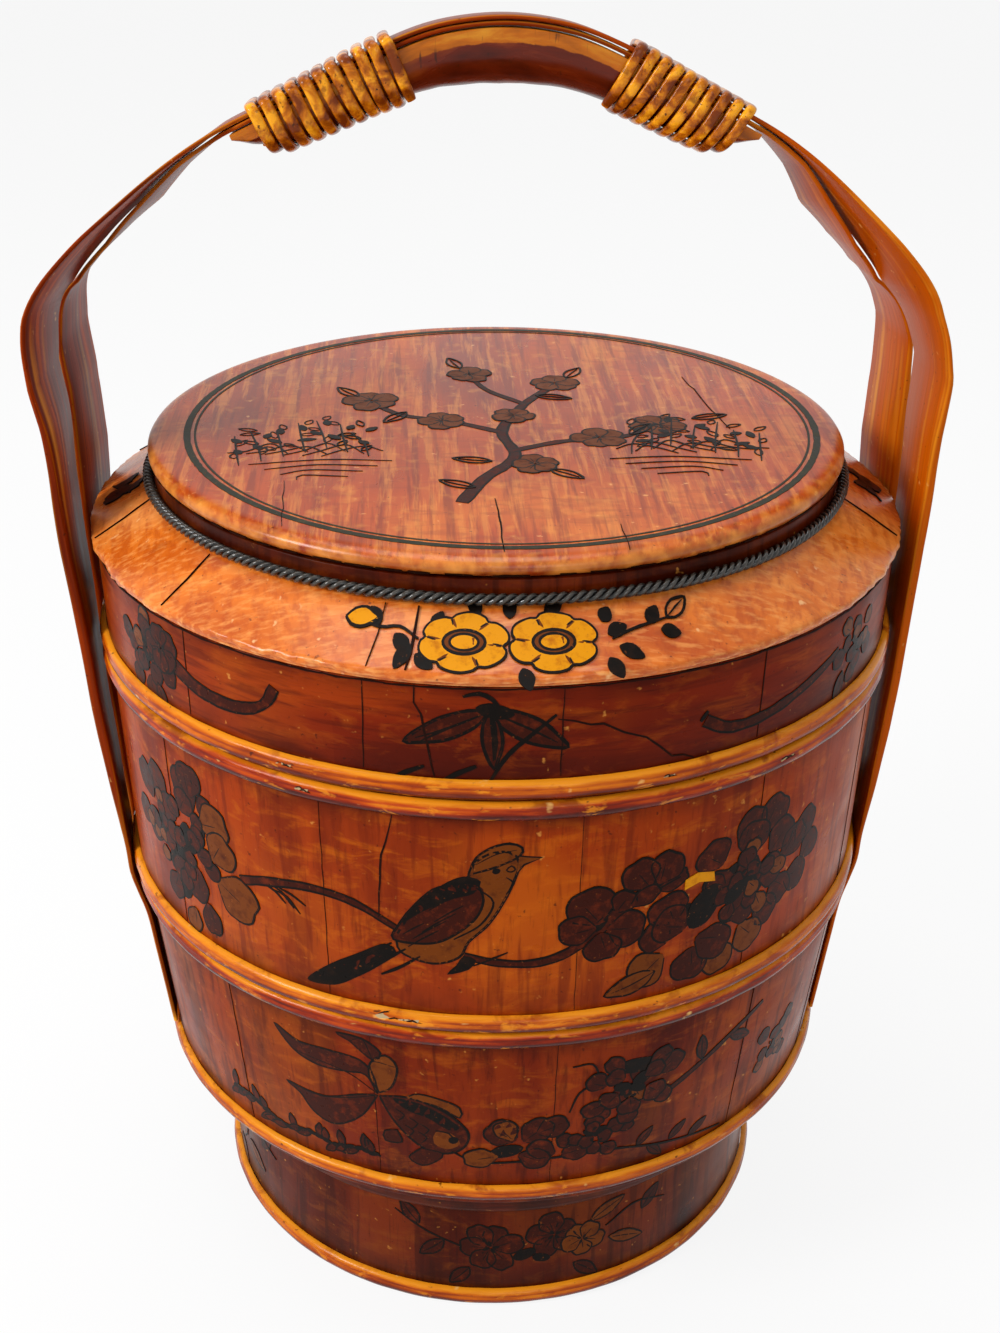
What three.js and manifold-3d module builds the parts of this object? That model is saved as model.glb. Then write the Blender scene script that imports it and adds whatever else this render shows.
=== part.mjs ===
// Tiered lacquered food basket: a base with a fixed bentwood handle, a middle tier and a lid.
// Millimetres, +Z up. The origin is the middle of the flat underside of the foot.
// The handle spans left to right along X. Both tiers and the lid stack inside its laths.

import * as THREE from 'three';
import { mergeVertices } from 'three/addons/utils/BufferGeometryUtils.js';
import Module from 'manifold-3d';

// Fits shared by all pieces
const GAP = 0.3;
const RING_SIDES = 48;
const BOARD = 8;

// Foot: a turned drum with a moulding under the lowest tier
const FOOT_RADIUS = 134.9;
const FOOT_HEIGHT = 86;
const FOOT_HOOP_CLEAR = 0.2;
const COLLAR_PROUD = 5.6;
const COLLAR_FLARE = 9.5;
const COLLAR_HEIGHT = 26;

// Walls: the lid's wall is the widest, and each wall below it steps and tapers inward
const STACK_RADIUS = 178.8;
const LID_DRAFT = 1.5;
const MIDDLE_STEP = 1.3;
const MIDDLE_DRAFT = 5;
const BOTTOM_STEP = 6.8;
const BOTTOM_DRAFT = 12;
const BOTTOM_HEIGHT = 105.1;
const MIDDLE_HEIGHT = 114.2;
const LID_WALL_HEIGHT = 48.8;
const MIDDLE_FLOOR_LIFT = 10.5;

// Hoops: half round laths sprung round the rims
const HOOP_THICK = 3.2;
const HOOP_HEIGHT = 9;
const LOW_HOOP_LIFT = 3.3;

// Standing lips that locate the tier above
const LIP_THICK = 6;
const LIP_DEPTH = 15;
const LIP_RISE = 8;
const LIP_BEVEL = 1.2;

// Lid
const SHOULDER_OVERHANG = 1.7;
const SHOULDER_EDGE = 3;
const SHOULDER_STEP = 2;
const SHOULDER_LEDGE = 1.5;
const SHOULDER_RISE = 17.5;
const NECK_RADIUS = 151.5;
const NECK_HEIGHT = 8.2;
const ROPE_RADIUS = 2.35;
const ROPE_SIDES = 8;
const TOP_OVERHANG = 2;
const TOP_THICK = 8.4;

// Each wall's outer radius at its lower and upper rim, and the heights of its rims
function tier(low, height, highRadius, draft) {
  return { low, high: low + height, highRadius, lowRadius: highRadius - draft };
}
const BOTTOM_TIER = tier(FOOT_HEIGHT + GAP, BOTTOM_HEIGHT, STACK_RADIUS - BOTTOM_STEP, BOTTOM_DRAFT);
const MIDDLE_TIER = tier(BOTTOM_TIER.high + GAP, MIDDLE_HEIGHT, STACK_RADIUS - MIDDLE_STEP, MIDDLE_DRAFT);
const LID_WALL = tier(MIDDLE_TIER.high + GAP, LID_WALL_HEIGHT, STACK_RADIUS, LID_DRAFT);

// The sloping board ring of the lid: its seat on the wall, its outer edge, crest and slope
const SHOULDER_SEAT = LID_WALL.high + GAP;
const SHOULDER_LOW = SHOULDER_SEAT + SHOULDER_STEP + SHOULDER_EDGE;
const SHOULDER_TOP = SHOULDER_LOW + SHOULDER_RISE;
const SHOULDER_RADIUS = STACK_RADIUS + SHOULDER_OVERHANG;
const SHOULDER_CREST = NECK_RADIUS + GAP;
const SHOULDER_SLOPE = SHOULDER_RISE / (SHOULDER_RADIUS - SHOULDER_CREST);
const TOP_LOW = SHOULDER_TOP + 2 * GAP + NECK_HEIGHT;
const TOP_HIGH = TOP_LOW + TOP_THICK;

// Levels that the handle is set out from: the two rims that it passes, the lid's top and the crown
const HANDLE_RISE = 171.8;
const CROWN = TOP_HIGH + HANDLE_RISE;
const FIRST_RIM = BOTTOM_TIER.high;
const SECOND_RIM = MIDDLE_TIER.high;
const KNEE_RADIUS = BOTTOM_TIER.highRadius + GAP + HOOP_THICK;

// Handle route: middle of the front lath, from the grip's middle down the right side, as [x, z]
const LATH_ROUTE = [
  [0, CROWN],
  [17, CROWN - 1.3],
  [32.4, CROWN - 4.7],
  [55.2, CROWN - 14],
  [76.1, CROWN - 24.9],
  [98.1, CROWN - 36],
  [113.1, CROWN - 43.7],
  [STACK_RADIUS - 48.6, CROWN - 54.2],
  [STACK_RADIUS - 27.5, CROWN - 69.6],
  [STACK_RADIUS - 7.9, CROWN - 86.6],
  [STACK_RADIUS + 5.2, TOP_HIGH + 68.8],
  [STACK_RADIUS + 10, TOP_HIGH + 53],
  [STACK_RADIUS + 10.1, TOP_HIGH + 35],
  [STACK_RADIUS + 8, TOP_HIGH + 10],
  [STACK_RADIUS + 7.6, TOP_HIGH - 20],
  [STACK_RADIUS + 6.5, TOP_HIGH - 50],
  [STACK_RADIUS + 5, SECOND_RIM + 4],
  [STACK_RADIUS + 3.4, SECOND_RIM - 36],
  [KNEE_RADIUS + 3.3, FIRST_RIM + 36.6],
  [KNEE_RADIUS + 0.7, FIRST_RIM + 8.6],
  [KNEE_RADIUS - 0.2, FIRST_RIM - 4.4],
  [KNEE_RADIUS - 2.9, FIRST_RIM - 15.4],
  [KNEE_RADIUS - 6.1, FIRST_RIM - 27.4],
  [KNEE_RADIUS - 9, FIRST_RIM - 49.4],
  [BOTTOM_TIER.lowRadius + 1.2, BOTTOM_TIER.low + 12.9],
];
const LATH_STEP = 15;
const CROWN_SPLIT = TOP_HIGH + 45;
const FOOT_SPLIT = FIRST_RIM - 4;

// How the laths change with height, as [height, value]
const LATH_THICK = [
  [FIRST_RIM + 14, 1.9],
  [FIRST_RIM + 41, 3.4],
  [SECOND_RIM - 44, 4.2],
  [TOP_HIGH - 35, 4.2],
  [TOP_HIGH + 5, 3.4],
  [TOP_HIGH + 39, 2.2],
  [CROWN - 87, 1.8],
];
const LATH_WIDTH = [
  [FIRST_RIM + 9, 40],
  [SECOND_RIM - 6, 43],
  [TOP_HIGH + 35, 46],
  [CROWN - 87, 44],
  [CROWN - 43, 31],
];
const LATH_MIDDLE = [
  [FIRST_RIM + 9, 23],
  [SECOND_RIM - 6, 25],
  [TOP_HIGH + 35, 27.5],
  [TOP_HIGH + 71, 22.6],
  [CROWN - 67, 10.5],
  [CROWN - 40, 0],
];

// Where the laths lie one on the other, and the weaker twist of the handle's left arm
const BACK_LATH_INSET = 2.3;
const LEFT_TWIST = 0.78;
const LEFT_TWIST_SPAN = [TOP_HIGH + 35, TOP_HIGH + 60];

// Twist of the laths: how far the front and the rear edge of each lie toward the inside of the bend
const FRONT_LATH_TWIST = {
  frontEdge: [
    [FIRST_RIM + 9, 2.6],
    [SECOND_RIM - 36, 2.2],
    [SECOND_RIM + 24, 1.1],
    [TOP_HIGH - 7, 0],
    [TOP_HIGH + 33, -1.6],
    [TOP_HIGH + 54, -0.6],
    [TOP_HIGH + 71, 0],
  ],
  rearEdge: [
    [FIRST_RIM + 9, -2.6],
    [SECOND_RIM - 36, -2.2],
    [SECOND_RIM + 24, -1.1],
    [TOP_HIGH - 7, 0],
    [TOP_HIGH + 33, 1.6],
    [TOP_HIGH + 54, 7.3],
    [CROWN - 101, 12.3],
    [CROWN - 83, 11],
    [CROWN - 67, 8],
    [CROWN - 55, 3.5],
    [CROWN - 43, 0],
  ],
};
const BACK_LATH_TWIST = {
  frontEdge: [
    [FIRST_RIM + 9, -2.6],
    [SECOND_RIM - 36, -2.2],
    [SECOND_RIM + 24, -1.1],
    [TOP_HIGH - 21, 0],
    [TOP_HIGH + 8, 0],
    [TOP_HIGH + 35, 1.6],
    [TOP_HIGH + 54, 7.5],
    [CROWN - 101, 14.4],
    [CROWN - 83, 13.5],
    [CROWN - 67, 8.2],
    [CROWN - 55, 3.7],
    [CROWN - 43, BACK_LATH_INSET],
  ],
  rearEdge: [
    [FIRST_RIM + 9, 2.6],
    [SECOND_RIM - 36, 2.2],
    [SECOND_RIM + 24, 2.5],
    [TOP_HIGH - 21, 5.5],
    [TOP_HIGH + 8, 4.5],
    [TOP_HIGH + 35, 6],
    [TOP_HIGH + 54, 11.5],
    [CROWN - 101, 16.5],
    [CROWN - 83, 17.4],
    [CROWN - 67, 15],
    [CROWN - 55, 7.2],
    [CROWN - 43, BACK_LATH_INSET],
  ],
};

// The bent laths lean a little to the left below the grip: sideways shift by height
const LEAN = [
  [SECOND_RIM - 66, 0],
  [SECOND_RIM + 4, -0.5],
  [TOP_HIGH - 42, -1.5],
  [TOP_HIGH + 15, -1.7],
  [TOP_HIGH + 35, -3],
  [TOP_HIGH + 60, -6],
  [CROWN - 80, -4.4],
  [CROWN - 37, -0.4],
  [CROWN - 12, 1.4],
];

// The top of the handle is rolled a little, front edge up: its slope and the span it fades over
const ROLL_SLOPE = 0.087;
const ROLL_SPAN = [115, 165];

// Grip block under the laths, by distance along the handle from its middle
const GRIP_HALF_LENGTH = 119;
const GRIP_HALF_WIDTH = 17;
const GRIP_BAND = 5.8;
const GRIP_CLEAR = 0.6;
const GRIP_THICK = [[0, 22.5], [20, 21.7], [54, 18.6], [100, 14.8], [112, 8.7], [119, 3.2]];
const GRIP_STEPS = 34;
const GRIP_ROUND_STEPS = 8;

// Cane windings
const CANE_WIDTH = 4.7;
const CANE_THICK = 3;
const CANE_PITCH = 5.85;
const CANE_STEPS = 24;
const CANE_SIDES = 6;
const LEFT_TURNS = 10.7;
const RIGHT_TURNS = 9.7;
const LEFT_START = 46;
const RIGHT_START = 54;
const CANE_CLEAR = 0.55;
const CANE_CUT_ANGLE = 50;
const WRAP_TOP_POWER = 6;
const WRAP_LOW_POWER = 3.3;

// Pegs that hold the lath ends
const PEG_RADIUS = 2.5;
const PEG_LIFT = 24.7;
const PEG_HEIGHT = BOTTOM_TIER.low + PEG_LIFT;
const PEG_PROUD = 0.8;
const PEG_SIDES = 12;

const lacquer = (color, roughness) => new THREE.MeshStandardMaterial({ color, roughness, metalness: 0 });
const WALL_LACQUER = lacquer(0xa8430f, 0.3);
const HOOP_LACQUER = lacquer(0xe08a1a, 0.3);
const SHOULDER_LACQUER = lacquer(0xd8701c, 0.3);
const TOP_LACQUER = lacquer(0xc0521c, 0.3);
const LATH_LACQUER = lacquer(0xa0501a, 0.35);
const GRIP_LACQUER = lacquer(0x6b2a10, 0.35);
const CANE = lacquer(0xd2861c, 0.35);
const DARK_ROPE = lacquer(0x25211e, 0.45);
const INNER_WOOD = lacquer(0x8a4a20, 0.6);
const PEG_WOOD = lacquer(0xb97a30, 0.5);

const wasm = await Module();
wasm.setup();

// Merge a geometry's shared corners so that it is one closed skin
function closed(geometry) {
  geometry.deleteAttribute('uv');
  geometry.deleteAttribute('normal');
  return mergeVertices(geometry, 1e-4);
}

function toManifold(geometry) {
  const vertProperties = new Float32Array(geometry.attributes.position.array);
  const triVerts = new Uint32Array(geometry.index.array);
  return new wasm.Manifold(new wasm.Mesh({ numProp: 3, vertProperties, triVerts }));
}

function fromManifold(body) {
  const mesh = body.getMesh();
  const geometry = new THREE.BufferGeometry();
  geometry.setAttribute('position', new THREE.BufferAttribute(new Float32Array(mesh.vertProperties), 3));
  geometry.setIndex(new THREE.BufferAttribute(new Uint32Array(mesh.triVerts), 1));
  return geometry;
}

function cut(geometry, tools) {
  let body = toManifold(geometry);
  for (const tool of tools) {
    body = body.subtract(toManifold(tool));
  }
  return fromManifold(body);
}

function part(name, geometry, material) {
  const mesh = new THREE.Mesh(geometry, material);
  mesh.name = name;
  return mesh;
}

// Value of a [position, value] table at a place
function along(table, place) {
  if (place <= table[0][0]) {
    return table[0][1];
  }
  for (let i = 1; i < table.length; i++) {
    const [start, startValue] = table[i - 1];
    const [end, endValue] = table[i];
    if (place <= end) {
      return THREE.MathUtils.mapLinear(place, start, end, startValue, endValue);
    }
  }
  return table[table.length - 1][1];
}

// A turned piece from its profile of [radius, height] points, closed on itself or on the axis
function turned(profile) {
  const points = profile.map(([radius, height]) => new THREE.Vector2(radius, height));
  if (profile[0][0] > 0) {
    points.push(points[0].clone());
  }
  const geometry = new THREE.LatheGeometry(points, RING_SIDES);
  geometry.rotateX(Math.PI / 2);
  return closed(geometry);
}

function wallRadius(tier, height) {
  const share = (height - tier.low) / (tier.high - tier.low);
  return THREE.MathUtils.lerp(tier.lowRadius, tier.highRadius, share);
}

function wallProfile(tier) {
  return [
    [tier.lowRadius - BOARD, tier.low],
    [tier.lowRadius, tier.low],
    [tier.highRadius, tier.high],
    [tier.highRadius - BOARD, tier.high],
  ];
}

// A half round hoop that follows a wall's slope between two heights
function hoop(radiusAt, low) {
  const high = low + HOOP_HEIGHT;
  const inner = (height) => radiusAt(height) + GAP;
  return turned([
    [inner(low), low],
    [inner(low) + 0.7 * HOOP_THICK, low],
    [inner(low) + HOOP_THICK, low + 0.25 * HOOP_HEIGHT],
    [inner(high) + HOOP_THICK, high - 0.25 * HOOP_HEIGHT],
    [inner(high) + 0.7 * HOOP_THICK, high],
    [inner(high), high],
  ]);
}

// A ring glued inside a tier's upper rim that stands up into the tier above
function lip(tier) {
  const low = tier.high - LIP_DEPTH;
  const top = tier.high + LIP_RISE;
  const outer = tier.highRadius - BOARD - GAP;
  const inner = outer - LIP_THICK;
  return turned([
    [inner, low],
    [wallRadius(tier, low) - BOARD - GAP, low],
    [outer, tier.high],
    [outer, top - LIP_BEVEL],
    [outer - LIP_BEVEL, top],
    [inner, top],
  ]);
}

function floor(tier, lift) {
  const low = tier.low + lift;
  const high = low + BOARD;
  return turned([
    [0, low],
    [wallRadius(tier, low) - BOARD - GAP, low],
    [wallRadius(tier, high) - BOARD - GAP, high],
    [0, high],
  ]);
}

function footWall() {
  const inner = FOOT_RADIUS - BOARD;
  return turned([[inner, 0], [FOOT_RADIUS, 0], [FOOT_RADIUS, FOOT_HEIGHT], [inner, FOOT_HEIGHT]]);
}

function footCollar() {
  const inner = FOOT_RADIUS + GAP;
  const outer = FOOT_RADIUS + COLLAR_PROUD;
  const low = FOOT_HEIGHT - COLLAR_HEIGHT;
  return turned([
    [inner, low],
    [outer - 1.5, low + 0.7],
    [outer, low + 4],
    [outer, low + 10],
    [outer + 0.3 * COLLAR_FLARE, FOOT_HEIGHT - 9],
    [outer + COLLAR_FLARE, FOOT_HEIGHT - 3],
    [outer + COLLAR_FLARE, FOOT_HEIGHT],
    [inner, FOOT_HEIGHT],
  ]);
}

function shoulder() {
  const edge = SHOULDER_SEAT + SHOULDER_STEP;
  const inner = NECK_RADIUS - BOARD - SHOULDER_LEDGE;
  return turned([
    [LID_WALL.highRadius - BOARD - SHOULDER_LEDGE, SHOULDER_SEAT],
    [LID_WALL.highRadius - GAP, SHOULDER_SEAT],
    [LID_WALL.highRadius - GAP, edge],
    [SHOULDER_RADIUS, edge],
    [SHOULDER_RADIUS, SHOULDER_LOW],
    [SHOULDER_CREST, SHOULDER_TOP],
    [inner, SHOULDER_TOP],
    [inner, SHOULDER_TOP - BOARD],
  ]);
}

function neck() {
  const low = SHOULDER_TOP + GAP;
  const inner = NECK_RADIUS - BOARD;
  return turned([
    [inner, low],
    [NECK_RADIUS, low],
    [NECK_RADIUS, low + NECK_HEIGHT],
    [inner, low + NECK_HEIGHT],
  ]);
}

// A rope laid in the corner between the neck and the slope
function ropeTrim() {
  const middleRadius = NECK_RADIUS + GAP + ROPE_RADIUS;
  const surface = SHOULDER_TOP - SHOULDER_SLOPE * (middleRadius - SHOULDER_CREST);
  const middleHeight = surface + (ROPE_RADIUS + GAP) * Math.hypot(1, SHOULDER_SLOPE);
  const profile = [];
  for (let i = 0; i < ROPE_SIDES; i++) {
    const angle = (2 * Math.PI * i) / ROPE_SIDES;
    profile.push([middleRadius + ROPE_RADIUS * Math.cos(angle), middleHeight + ROPE_RADIUS * Math.sin(angle)]);
  }
  return turned(profile);
}

function topBoard() {
  const radius = NECK_RADIUS + TOP_OVERHANG;
  return turned([
    [0, TOP_LOW],
    [radius - 5.5, TOP_LOW],
    [radius - 1.8, TOP_LOW + 1.2],
    [radius, TOP_LOW + 3.6],
    [radius - 0.3, TOP_HIGH - 2.4],
    [radius - 2.8, TOP_HIGH - 0.5],
    [radius - 6.5, TOP_HIGH],
    [0, TOP_HIGH],
  ]);
}

// The handle's route as one curve from the left foot over the grip to the right foot
const rightSide = LATH_ROUTE.map(([x, z]) => new THREE.Vector3(x, 0, z));
const leftSide = rightSide.slice(1).reverse().map((point) => new THREE.Vector3(-point.x, 0, point.z));
const handleCurve = new THREE.CatmullRomCurve3([...leftSide, ...rightSide], false, 'centripetal');
handleCurve.arcLengthDivisions = 2000;
const handleLength = handleCurve.getLength();

// Place, outward direction and run direction at a share of the handle's length
function station(share) {
  const place = handleCurve.getPointAt(share);
  const run = handleCurve.getTangentAt(share);
  return { place, run, out: new THREE.Vector3(-run.z, 0, run.x) };
}

function stationFromMiddle(distance) {
  return station(0.5 + distance / handleLength);
}

// Lean a point of the handle, and tip the top so that its front edge stands a little higher
function settled(point) {
  const hold = 1 - THREE.MathUtils.smoothstep(Math.abs(point.x), ...ROLL_SPAN);
  point.x += along(LEAN, point.z);
  point.z -= ROLL_SLOPE * hold * point.y;
  return point;
}

// Extrude a section straight, then carry every corner to its place on the handle
function alongHandle(section, steps, carry) {
  const geometry = closed(new THREE.ExtrudeGeometry(section, { depth: 1, steps, bevelEnabled: false }));
  const position = geometry.attributes.position;
  for (let i = 0; i < position.count; i++) {
    const point = settled(carry(position.getX(i), position.getY(i), position.getZ(i)));
    position.setXYZ(i, point.x, point.y, point.z);
  }
  return geometry;
}

// Share of the handle's length at which its right side passes a height
function shareAt(height) {
  let low = 0.5;
  let high = 1;
  while (high - low > 1e-6) {
    const middle = (low + high) / 2;
    if (handleCurve.getPointAt(middle).z > height) {
      low = middle;
    } else {
      high = middle;
    }
  }
  return low;
}

// A stretch of one lath: front is -1 for the lath nearer the viewer, +1 for the one behind
function lath(front, from, to) {
  const section = new THREE.Shape();
  section.moveTo(-0.5, -0.5);
  section.lineTo(0.5, -0.5);
  section.lineTo(0.5, 0.5);
  section.lineTo(-0.5, 0.5);
  section.closePath();
  const steps = Math.ceil(((to - from) * handleLength) / LATH_STEP);
  const twist = front < 0 ? FRONT_LATH_TWIST : BACK_LATH_TWIST;
  const stacked = front < 0 ? 0 : BACK_LATH_INSET;
  return alongHandle(section, steps, (across, through, stretch) => {
    const { place, out } = station(THREE.MathUtils.lerp(from, to, stretch));
    const height = place.z;
    const width = along(LATH_WIDTH, height);
    const ease = place.x < 0 ? THREE.MathUtils.smoothstep(height, ...LEFT_TWIST_SPAN) : 0;
    const share = 1 - (1 - LEFT_TWIST) * ease;
    const frontInset = stacked + share * (along(twist.frontEdge, height) - stacked);
    const rearInset = stacked + share * (along(twist.rearEdge, height) - stacked);
    const inset = THREE.MathUtils.lerp(frontInset, rearInset, across + 0.5);
    const depth = through * along(LATH_THICK, height) - inset;
    const spanY = Math.sqrt(width ** 2 - (rearInset - frontInset) ** 2);
    const y = front * along(LATH_MIDDLE, height) + across * spanY;
    return new THREE.Vector3(place.x + out.x * depth, y, place.z + out.z * depth);
  });
}

// Depth of the grip block's top below the front lath's middle
const LATH_GRIP_THICK = along(LATH_THICK, Infinity);
const GRIP_TOP = LATH_GRIP_THICK / 2 + BACK_LATH_INSET + GRIP_CLEAR;

// Grip block: a flat band at the front and back, and a round underside
function grip() {
  const section = new THREE.Shape();
  section.moveTo(-1, 0);
  section.lineTo(-1, -GRIP_BAND);
  for (let i = 1; i < GRIP_ROUND_STEPS; i++) {
    const angle = (Math.PI * i) / GRIP_ROUND_STEPS;
    section.lineTo(-Math.cos(angle), -GRIP_BAND - Math.sin(angle));
  }
  section.lineTo(1, -GRIP_BAND);
  section.lineTo(1, 0);
  section.closePath();
  return alongHandle(section, GRIP_STEPS, (across, below, share) => {
    const distance = (2 * share - 1) * GRIP_HALF_LENGTH;
    const { place, out } = stationFromMiddle(distance);
    const thick = along(GRIP_THICK, Math.abs(distance));
    const band = Math.min(GRIP_BAND, 0.6 * thick);
    const round = Math.max(0, -below - GRIP_BAND);
    const depth = GRIP_TOP + (-below <= GRIP_BAND ? (-below / GRIP_BAND) * band : band + round * (thick - band));
    return place.addScaledVector(out, -depth).setY(across * GRIP_HALF_WIDTH);
  });
}

// Middle line of a winding at a turn angle, counted from the underside and up the front
function wrapPoint(side, start, angle) {
  const distance = start + (CANE_PITCH * angle) / (2 * Math.PI);
  const { place, out } = stationFromMiddle(side * distance);
  const stand = CANE_THICK / 2 + CANE_CLEAR;
  const up = -Math.cos(angle);
  const top = LATH_GRIP_THICK / 2 + stand + GRIP_TOP;
  const height = up > 0 ? top : along(GRIP_THICK, distance) + stand;
  const power = up > 0 ? WRAP_TOP_POWER : WRAP_LOW_POWER;
  const squared = (value) => Math.sign(value) * Math.abs(value) ** (2 / power);
  place.addScaledVector(out, squared(up) * height - GRIP_TOP);
  return place.setY(-squared(Math.sin(angle)) * (GRIP_HALF_WIDTH + stand));
}

// One winding: a single unbroken flattened cane. Its cut end shows low on the front.
function winding(side, start, turns) {
  const step = (2 * Math.PI) / CANE_STEPS;
  const count = Math.round(turns * CANE_STEPS);
  const first = THREE.MathUtils.degToRad(CANE_CUT_ANGLE);
  const middles = [];
  for (let i = 0; i <= count; i++) {
    middles.push(wrapPoint(side, start, first + i * step));
  }
  const startRun = middles[0].clone().sub(middles[1]).setLength(CANE_WIDTH);
  const endRun = middles[count].clone().sub(middles[count - 1]).setLength(CANE_WIDTH);
  middles.unshift(middles[0].clone().add(startRun));
  middles.push(middles[count + 1].clone().add(endRun));
  const corners = [];
  middles.forEach((middle, i) => {
    const before = middles[Math.max(i - 1, 0)];
    const after = middles[Math.min(i + 1, middles.length - 1)];
    const heading = after.clone().sub(before).normalize();
    const distance = start + (CANE_PITCH * (first + (i - 1) * step)) / (2 * Math.PI);
    const across = stationFromMiddle(side * distance).run;
    across.addScaledVector(heading, -across.dot(heading)).normalize();
    const outward = heading.clone().cross(across);
    for (let k = 0; k < CANE_SIDES; k++) {
      const angle = (2 * Math.PI * k) / CANE_SIDES;
      const corner = middle.clone();
      corner.addScaledVector(across, (Math.cos(angle) * CANE_WIDTH) / 2);
      corner.addScaledVector(outward, (Math.sin(angle) * CANE_THICK) / 2);
      corners.push(settled(corner));
    }
  });
  const faces = [];
  const last = (middles.length - 1) * CANE_SIDES;
  for (let i = 0; i < last; i += CANE_SIDES) {
    for (let k = 0; k < CANE_SIDES; k++) {
      const a = i + k;
      const b = i + ((k + 1) % CANE_SIDES);
      faces.push([a, b, b + CANE_SIDES], [a, b + CANE_SIDES, a + CANE_SIDES]);
    }
  }
  for (let k = 1; k < CANE_SIDES - 1; k++) {
    faces.push([0, k + 1, k], [last, last + k, last + k + 1]);
  }
  const geometry = new THREE.BufferGeometry().setFromPoints(corners);
  geometry.setIndex(faces.flat());
  return geometry;
}

// Least gap between one turn of a winding and the next, measured on its corners
function leastGap(geometry) {
  const position = geometry.attributes.position;
  const perTurn = CANE_STEPS * CANE_SIDES;
  const here = new THREE.Vector3();
  const there = new THREE.Vector3();
  let least = Infinity;
  for (let i = 0; i < position.count - perTurn / 2; i++) {
    here.fromBufferAttribute(position, i);
    for (let j = i + perTurn / 2; j < Math.min(position.count, i + 1.5 * perTurn); j++) {
      least = Math.min(least, here.distanceTo(there.fromBufferAttribute(position, j)));
    }
  }
  return least;
}

// Azimuth of each lath foot's middle and the radius of the wall behind it
function footPlaces() {
  const tipRadius = wallRadius(BOTTOM_TIER, PEG_HEIGHT);
  const swing = Math.asin(along(LATH_MIDDLE, PEG_HEIGHT) / tipRadius);
  return [
    { name: 'front_left', azimuth: Math.PI + swing },
    { name: 'front_right', azimuth: -swing },
    { name: 'back_left', azimuth: Math.PI - swing },
    { name: 'back_right', azimuth: swing },
  ];
}

// A round peg or its hole, lying along a radius at the peg height
function radialRod(azimuth, radius, from, to) {
  const geometry = new THREE.CylinderGeometry(radius, radius, to - from, PEG_SIDES);
  geometry.rotateZ(-Math.PI / 2);
  geometry.translate((from + to) / 2, 0, 0);
  geometry.rotateZ(azimuth);
  geometry.translate(0, 0, PEG_HEIGHT);
  return closed(geometry);
}

function base() {
  const group = new THREE.Group();
  const wallAt = (height) => wallRadius(BOTTOM_TIER, height);
  const pegWall = wallAt(PEG_HEIGHT);
  const holes = footPlaces().map(({ azimuth }) => {
    return radialRod(azimuth, PEG_RADIUS + GAP, pegWall - 2 * BOARD, pegWall + 2 * BOARD);
  });
  group.add(part('foot_wall', footWall(), WALL_LACQUER));
  group.add(part('foot_hoop', hoop(() => FOOT_RADIUS, FOOT_HOOP_CLEAR), HOOP_LACQUER));
  group.add(part('foot_collar', footCollar(), GRIP_LACQUER));
  group.add(part('bottom_tier_wall', cut(turned(wallProfile(BOTTOM_TIER)), holes), WALL_LACQUER));
  group.add(part('bottom_tier_floor', floor(BOTTOM_TIER, 0), INNER_WOOD));
  group.add(part('bottom_tier_low_hoop', hoop(wallAt, BOTTOM_TIER.low + LOW_HOOP_LIFT), HOOP_LACQUER));
  group.add(part('bottom_tier_top_hoop', hoop(wallAt, BOTTOM_TIER.high - HOOP_HEIGHT), HOOP_LACQUER));
  group.add(part('bottom_tier_lip', lip(BOTTOM_TIER), INNER_WOOD));
  const crownShare = shareAt(CROWN_SPLIT);
  const footShare = shareAt(FOOT_SPLIT);
  const slit = GAP / 2 / handleLength;
  for (const [name, front] of [['front', -1], ['back', 1]]) {
    const footLeft = cut(lath(front, 0, 1 - footShare - slit), holes);
    const left = lath(front, 1 - footShare + slit, 1 - crownShare - slit);
    const crown = lath(front, 1 - crownShare + slit, crownShare - slit);
    const right = lath(front, crownShare + slit, footShare - slit);
    const footRight = cut(lath(front, footShare + slit, 1), holes);
    group.add(part(`handle_${name}_lath_foot_left`, footLeft, LATH_LACQUER));
    group.add(part(`handle_${name}_lath_left`, left, LATH_LACQUER));
    group.add(part(`handle_${name}_lath_crown`, crown, LATH_LACQUER));
    group.add(part(`handle_${name}_lath_right`, right, LATH_LACQUER));
    group.add(part(`handle_${name}_lath_foot_right`, footRight, LATH_LACQUER));
  }
  group.add(part('handle_grip', grip(), GRIP_LACQUER));
  for (const [name, side, start, turns] of [
    ['handle_left_winding', -1, LEFT_START, LEFT_TURNS],
    ['handle_right_winding', 1, RIGHT_START, RIGHT_TURNS],
  ]) {
    const cane = winding(side, start, turns);
    console.log(`${name}: ${turns} turns, least gap to itself ${leastGap(cane).toFixed(2)} mm`);
    group.add(part(name, cane, CANE));
  }
  for (const { name, azimuth } of footPlaces()) {
    const inner = pegWall - BOARD + 1;
    const outer = pegWall + along(LATH_THICK, PEG_HEIGHT) + 1.2 + PEG_PROUD;
    group.add(part(`handle_peg_${name}`, radialRod(azimuth, PEG_RADIUS, inner, outer), PEG_WOOD));
  }
  return group;
}

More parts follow.
